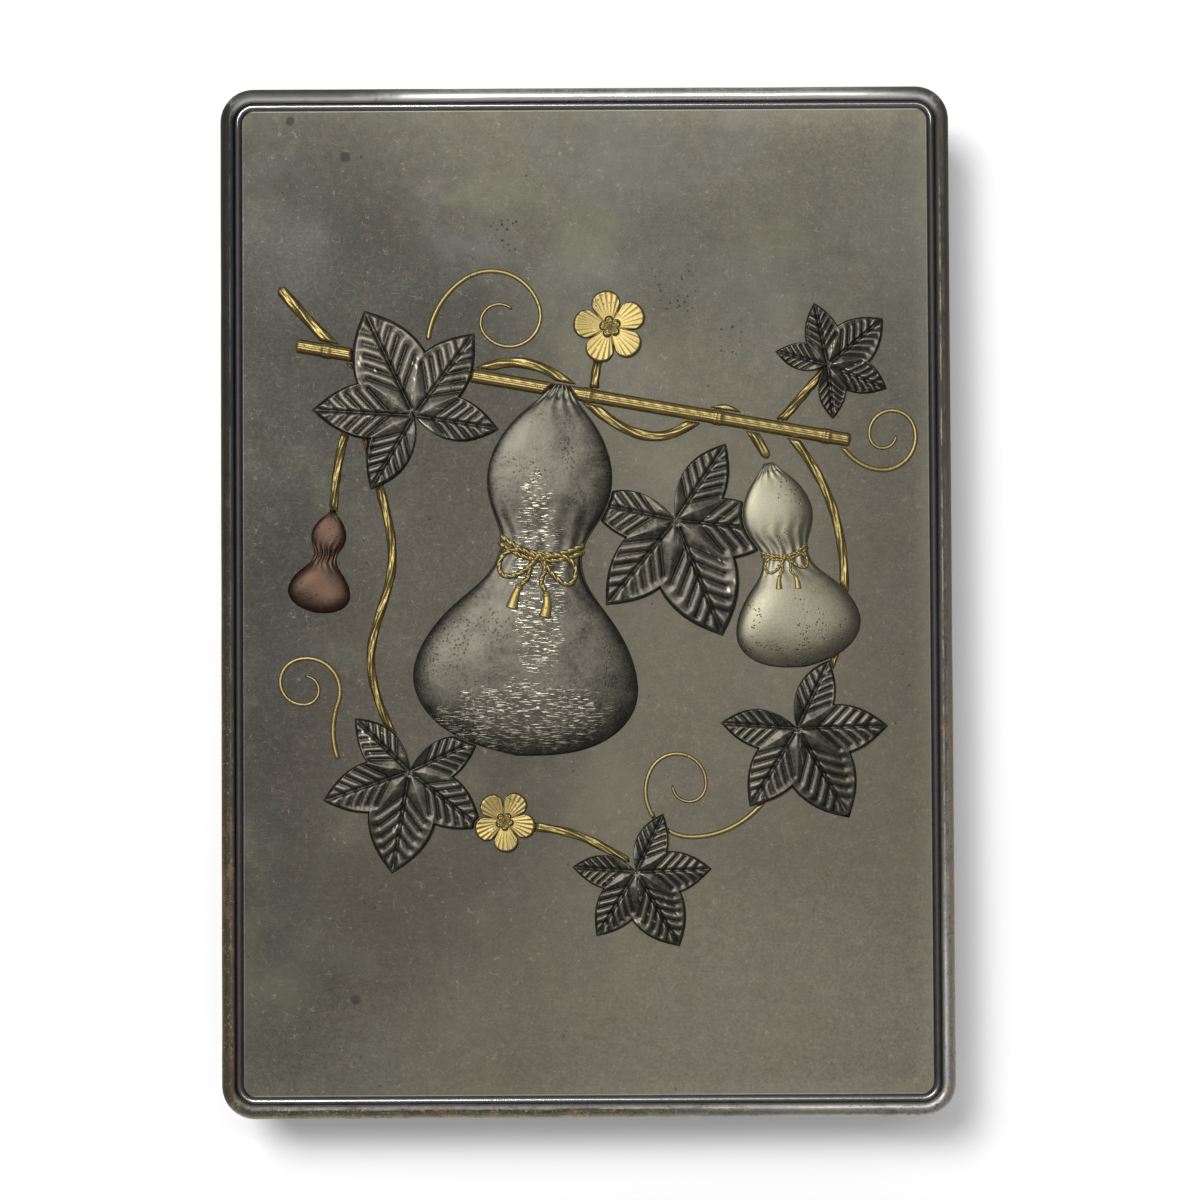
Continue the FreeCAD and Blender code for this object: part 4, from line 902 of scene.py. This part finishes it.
def leaf_veins(radius):
    """A leaf's main veins and the side veins that leave them, as rows of two ends."""
    main, side = [], []
    root = np.array([0, -0.05 * radius])
    for middle, length, _ in LEAF_LOBES:
        for sign in (-1, 1) if middle else (1,):
            tip = radius * length * 0.94 * np.array([sin(sign * middle), cos(middle)])
            main.append([*root, *tip])
            way = (tip - root) / np.linalg.norm(tip - root)
            for step, share in enumerate(VEIN_MARKS):
                base = root + (tip - root) * share
                reach = radius * length * (0.42 - 0.34 * share)
                for turn in (-VEIN_TURN, VEIN_TURN):
                    c, s = cos(turn + 0.04 * step), sin(turn)
                    out = np.array([[c, -s], [s, c]]) @ way
                    side.append([*base, *(base + out * reach)])
    return np.array(main), np.array(side)


def make_leaf(name, radius, *placing, covers, phase):
    """A lobed leaf: domed and waved, with quilted fields between chased veins."""
    main, side = leaf_veins(radius)

    def surface(flat, angle, share):
        near_main = segment_distance(flat, main[:, :2], main[:, 2:]).min(1)
        near_side = segment_distance(flat, side[:, :2], side[:, 2:]).min(1)
        height = 0.75 + 1.05 * (1 - (flat**2).sum(1) / radius**2)
        height += 0.34 * (1 - hump(np.minimum(near_main, near_side), 1.5))
        height -= 0.36 * hump(near_main, 0.42) + 0.2 * hump(near_side, 0.3)
        height += 0.3 * np.sin(3 * angle + phase) * share**2
        height += 0.12 * np.sin(11 * angle + 2 * phase) * share**4
        height -= 0.75 * eased((share - 0.93) / 0.07) ** 2
        return np.maximum(height, 0.12)

    mesh = pad((360, 64), leaf_radius, radius, placing, surface, 0.8, covers)
    piece(name, mesh, "lid", "inlay_dark", "inlay_leaves")


def make_flower(name, radius, *placing):
    """A flower with five cupped petals, fine creases and a beaded middle."""

    def surface(flat, angle, share):
        off = from_petal(angle)
        height = 0.95 + 0.35 * share - 0.35 * off**4 * share
        height += 0.07 * np.cos(off * 22) * np.clip(share - 0.3, 0, 1)
        height += eased((0.3 - share) / 0.06) * (0.55 + 0.1 * np.cos(angle * 8) * np.cos(share * 50))
        return height - 0.5 * eased((share - 0.92) / 0.08) ** 2

    mesh = pad((240, 56), petal_radius, radius, placing, surface)
    piece(name, mesh, "lid", "inlay_gold", "inlay_flowers")


def make_gourd(name, covers):
    """A gourd in relief: smooth bellies, a pinched stem and shallow flutes by its neck."""
    slot, length, relief, *placing = GOURDS[name]
    side = gourd_side(length)
    steepness = gourd_rise(length, relief)

    def place(u, v):
        rows = np.sin(v * pi / 2) ** 1.1 * (len(side) - 1)
        radius, drop = [np.interp(rows, np.arange(len(side)), line) for line in side.T]
        radius = np.maximum(radius, 0)
        share = -drop / length
        upper = u <= GOURD_OVER
        angle = np.where(upper, u / GOURD_OVER, (1 - u) / (1 - GOURD_OVER)) * pi
        pinch = hump(share - GOURD_WAIST, 0.1) + 0.8 * hump(share, 0.06)
        bulge = steepness * radius * np.sin(angle) ** 0.8
        bulge += FLUTE_DEPTH * pinch * np.cos(angle * 14 + np.sin(share * 40)) * np.sin(angle)
        waves = np.sin(u * 4 * pi + share * 9) * np.sin(angle)
        bulge += 0.15 * waves * radius / (length * GOURD_WIDEST)
        bulge += GOURD_EDGE * np.minimum(radius / (0.06 * length), 1) * np.sin(angle) ** 0.3
        height = np.where(radius < 1e-3, 0, np.where(upper, bulge, SUNK))
        flat = np.stack([-radius * np.cos(angle), drop], 1)
        return laid(turned_about(flat, *placing), height, covers)

    piece(name + "_relief", mapped(150, 220, place), "lid", slot, name)


def half_round(path, radius, covers, steps_across, texture=None, base=0, rise=1):
    """A half-round wire laid along a path on the plate. radius(share) is its radius along it.

    base gives the height at each point of the path that it lies on, and rise flattens it.
    """
    base = base + np.zeros(len(path))
    way = np.gradient(path, axis=0)
    way /= np.linalg.norm(way, axis=1)[:, None]
    aside = np.stack([-way[:, 1], way[:, 0]], 1)
    last = len(path) - 1

    def place(u, v):
        row = np.rint(v * last).astype(int)
        thick = radius(v) * np.sqrt(np.clip(np.minimum(row, last - row) / 1.5, 0, 1))
        upper = u <= WIRE_TOP
        angle = np.where(upper, u / WIRE_TOP, (1 - u) / (1 - WIRE_TOP)) * pi
        height = base[row] + np.where(upper, np.sin(angle) ** 0.85 * thick * rise, SUNK)
        if texture is not None:
            height += np.where(upper, texture(angle, v) * np.sin(angle), 0)
        height = np.where(thick < 1e-6, base[row], height)
        flat = path[row] - aside[row] * (np.cos(angle) * thick)[:, None]
        return laid(flat, height, covers, VINE_TUCK)

    return mapped(steps_across, last, place)


def belly(points, length, relief):
    """Height of a gourd's smooth surface, at points in its own plane."""
    side = gourd_side(length)
    radius = np.interp(-points[:, 1], -side[:, 1], side[:, 0])
    swell = np.sqrt(np.clip(1 - (points[:, 0] / radius) ** 2, 0, 1))
    return gourd_rise(length, relief) * radius * swell**0.8 + GOURD_EDGE * swell**0.3


def make_bow(name, gourd):
    """A twisted cord tied round a gourd's waist in a bow, with two tassels."""
    _, length, relief, *placing = GOURDS[gourd]
    scale = length / TIED_LENGTH

    def run(points, lift, count, radius, texture, rise):
        flat = smooth_curve(np.array(points) * scale, count)
        base = belly(flat, length, relief) + lift * scale
        return half_round(turned_about(flat, *placing), radius, (), 16, texture, base, rise)

    def strand(v):
        return CORD_RADIUS * scale

    def skirt(v):
        return scale * (0.62 + 0.35 * hump(v - 0.14, 0.05) + 0.9 * v)

    def fringe(angle, v):
        return 0.07 * scale * np.cos(angle * 13) * np.clip(v * 4 - 0.8, 0, 1)

    meshes = []
    for points, lift in CORD_RUNS:
        length_of_run = span(points)

        def twist(angle, v):
            return 0.1 * scale * np.cos(angle * 3 + v * length_of_run * 3.4)

        meshes.append(run(points, lift, int(length_of_run / 0.18), strand, twist, 0.9))
    for points, lift in TASSELS:
        meshes.append(run(points, lift, 60, skirt, fringe, 0.5))
    piece(name, joined(meshes), "lid", "inlay_gold")


def make_bar(covers):
    """Half a bamboo pole: swollen joints with a groove on each, and fine lines."""
    length, *placing = BAR
    path = turned_about(np.linspace((0, 0), (length, 0), 420), *placing)

    def radius(v):
        offs = [(v - joint) * length - 0.75 for joint in BAR_JOINTS]
        return BAR_RADIUS - 0.12 + sum(0.38 * hump(off, 0.9) - 0.3 * hump(off, 0.25) for off in offs)

    def lines(angle, v):
        return 0.06 * np.cos(angle * 16) + 0.03 * np.sin(v * 300 + angle * 3)

    bar = half_round(path, radius, covers, 40, lines)
    piece("inlay_bar_bamboo", bar, "lid", "inlay_gold", "inlay_bar")


def bar_outline(length, *placing):
    corners = np.array([(0, -1), (length, -1), (length, 1), (0, 1)]) * (1, BAR_RADIUS + 0.2)
    return turned_about(corners, *placing)


def make_vines(covers):
    """The main vine and its branches, ridged like twisted stems."""

    def vine(thick, *points):
        length = span(points)
        knots = 5 + int(length / 14)

        def radius(v):
            return thick * (1 - 0.12 * v + 0.1 * np.sin(v * knots * 2.7) ** 4)

        def twist(angle, v):
            way = v * length
            return 0.14 * np.cos(angle * 5 + way * 0.55) + 0.05 * np.cos(angle * 11 - way * 0.8)

        return half_round(smooth_curve(points, int(length / 0.55)), radius, covers, 22, twist)

    mesh = joined([vine(*numbers) for numbers in VINES])
    piece("inlay_vines_twisted", mesh, "lid", "inlay_gold", "inlay_vines")


def curl(x, y, heading_degrees, steps):
    """Points along tangent arcs. Each step is a radius and the degrees to turn."""
    points = [(x, y)]
    heading = radians(heading_degrees)
    for radius, degrees in steps:
        turn = radians(degrees)
        count = max(4, int(radius * abs(turn) / 0.35))
        stride = radius * abs(turn) / count
        for _ in range(count):
            heading += turn / count / 2
            x += stride * cos(heading)
            y += stride * sin(heading)
            heading += turn / count / 2
            points.append((x, y))
    return np.array(points)


def make_tendrils(covers):
    """Fine curls that thin out at their ends."""

    def radius(v):
        return TENDRIL_RADIUS * (1.1 - 0.5 * v)

    mesh = joined([half_round(curl(*numbers), radius, covers, 14) for numbers in TENDRILS])
    piece("inlay_tendrils_curled", mesh, "lid", "inlay_gold", "inlay_tendrils")


def make_inlay():
    """The motifs from the topmost down. Each sinks under the outlines of those before it."""
    for index, numbers in enumerate(FLOWERS, 1):
        make_flower(f"inlay_flower_{index}", *numbers)
    over = [pad_outline(petal_radius, 160, *numbers) for numbers in FLOWERS]
    for name in GOURDS:
        make_gourd(name, over)
    make_bow("inlay_bow_large", "inlay_gourd_large")
    make_bow("inlay_bow_small", "inlay_gourd_small")
    over += [gourd_outline(length, *placing) for _, length, _, *placing in GOURDS.values()]
    for index, numbers in enumerate(LEAVES, 1):
        make_leaf(f"inlay_leaf_{index}", *numbers, covers=over, phase=1.3 * index)
        over.append(pad_outline(leaf_radius, 240, *numbers))
    make_bar(over)
    over.append(bar_outline(*BAR))
    make_vines(over)
    make_tendrils(over)


# ---- Handles and brush hair ----

HANDLES = {  # body and the bamboo's joints, as shares of its length
    "brush_large": ("large_brush", (0.13, 0.44, 0.76)),
    "brush_small": ("small_brush", (0.2, 0.55, 0.86)),
    "knife": ("paper_knife", (0.16, 0.62)),
    "awl": ("paper_awl", (0.25, 0.7)),
}


def turned(name, body, slot, node, profile, steps):
    """A piece turned about a line along Y through the middle of its node.

    profile lists distances along and radii, as shares of the node's length and of its radius.
    """
    low, high = measure(node)
    middle, half = (low + high) / 2, (high - low) / 2
    along, out = np.array(profile).T
    last = len(profile) - 1

    def place(u, v):
        row = np.rint(v * last).astype(int)
        x = middle.x + out[row] * half.x * np.cos(u * 2 * pi)
        z = middle.z + out[row] * half.x * np.sin(u * 2 * pi)
        return np.column_stack([x, low.y + along[row] * 2 * half.y, z])

    piece(name, mapped(steps, last, place), body, slot, node)


def bamboo_profile(joints):
    """A handle with a rounded butt and a grooved swelling at each joint."""
    marks = {k / 60 for k in range(2, 61)}
    marks |= {joint + off for joint in joints for off in np.linspace(-0.02, 0.02, 17)}
    profile = [(0, 0), (0, 0.55), (0.004, 0.72), (0.01, 0.84), (0.018, 0.9)]
    for along in sorted(marks):
        offs = [along - joint for joint in joints]
        swell = sum(0.07 * hump(off, 0.008) - 0.1 * hump(off, 0.0022) for off in offs)
        profile.append((along, 0.925 + swell))
    return profile + [(1, 0)]


def hair_profile():
    """A full belly drawn to a fine point."""
    along = np.linspace(0, 1, 37)
    fullness = 0.8 + 0.2 * np.sin(np.minimum(along / 0.34, 1) * pi / 2)
    taper = np.maximum((along - 0.3) / 0.7, 0)
    return [(0, 0), *zip(along, fullness * (1 - taper**1.35))]


def make_tools():
    for tool, (body, joints) in HANDLES.items():
        turned(tool + "_bamboo", body, "bamboo", tool + "_handle", bamboo_profile(joints), 40)
    for tool in ("brush_large", "brush_small"):
        turned(tool + "_hair_drawn", HANDLES[tool][0], "hair", tool + "_hair", hair_profile(), 56)


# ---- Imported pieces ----


def dress_nodes():
    """Gives each node that still shows the finish of its recorded slot."""
    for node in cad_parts.values():
        for slot in node.material_slots:
            slot.material = FINISHES[slot.material.name.split(".")[0]]


# ---- Floor, light and camera ----

FLOOR_HALF = 20  # metres
FLOOR_WHITE = 0.86
FLOOR_GLOW = 0.155
WORLD_LIGHT = 0.24
SOFTBOXES = {  # degrees from straight up, to the left and to the far side; metres off, wide and high; watts
    "key": (11.5, 12, 1.45, 0.34, 0.34, 15.3),
    "overhead_strip": (-2, 8, 1.25, 0.6, 0.07, 2.2),
    "far_strip": (0, 48, 1.2, 1, 0.35, 0.8),
    "near_strip": (-8, -52, 1.2, 1, 0.3, 0.4),
}
AIM = Vector((0, 0, 0.03))  # what the lamps point at, in metres
CAMERA_LENS = 100
CAMERA_PLACE = (0.00304, -0.02357, 0.84572)  # metres
CAMERA_TURN_DEGREES = (1.689, -0.004, -0.296)


def floor_white():
    """A white floor, lifted for the camera so that only the shadow is grey."""
    f = Finish("floor_white")
    white = FLOOR_WHITE + 0.05 * (f.cloud(400).most(0.3).least(0.7) - 0.3)
    ways = ("Is Camera Ray", "Is Glossy Ray", "Is Transmission Ray")
    seen = highest(*[f.node("LightPath", output=way) for way in ways])
    glow = f.node("Emission", {0: (1, 1, 1, 1), 1: FLOOR_GLOW * seen})
    return f.ended(f.node("AddShader", {0: f.node("BsdfDiffuse", {0: white}), 1: glow}))


def make_floor():
    mesh = bmesh.new()
    bmesh.ops.create_grid(mesh, x_segments=4, y_segments=4, size=FLOOR_HALF)
    data = settled(mesh, "floor")
    data.materials.append(floor_white())
    floor = added("floor", data)


def make_world():
    world = bpy.data.worlds.new("studio")
    world.use_nodes = True
    light = world.node_tree.nodes["Background"]
    light.inputs["Color"].default_value = (1, 1, 1, 1)
    light.inputs["Strength"].default_value = WORLD_LIGHT
    bpy.context.scene.world = world


def make_lights():
    for name, (left, far, distance, width, height, power) in SOFTBOXES.items():
        way = Vector((-tan(radians(left)), tan(radians(far)), 1))
        data = bpy.data.lights.new(name, "AREA")
        data.shape = "RECTANGLE"
        data.size = width
        data.size_y = height
        data.energy = power
        lamp = added(name, data)
        lamp.location = AIM + way.normalized() * distance
        lamp.rotation_euler = (-way).to_track_quat("-Z", "Y").to_euler()


def make_camera():
    data = bpy.data.cameras.new("camera")
    data.lens = CAMERA_LENS
    data.clip_start = 0.05
    camera = added("camera", data)
    camera.location = CAMERA_PLACE
    camera.rotation_euler = [radians(degrees) for degrees in CAMERA_TURN_DEGREES]
    bpy.context.scene.camera = camera


make_rim()
make_bead()
make_inlay()
make_tools()
dress_nodes()
make_floor()
make_world()
make_lights()
make_camera()
bpy.context.scene.view_settings.view_transform = "Standard"
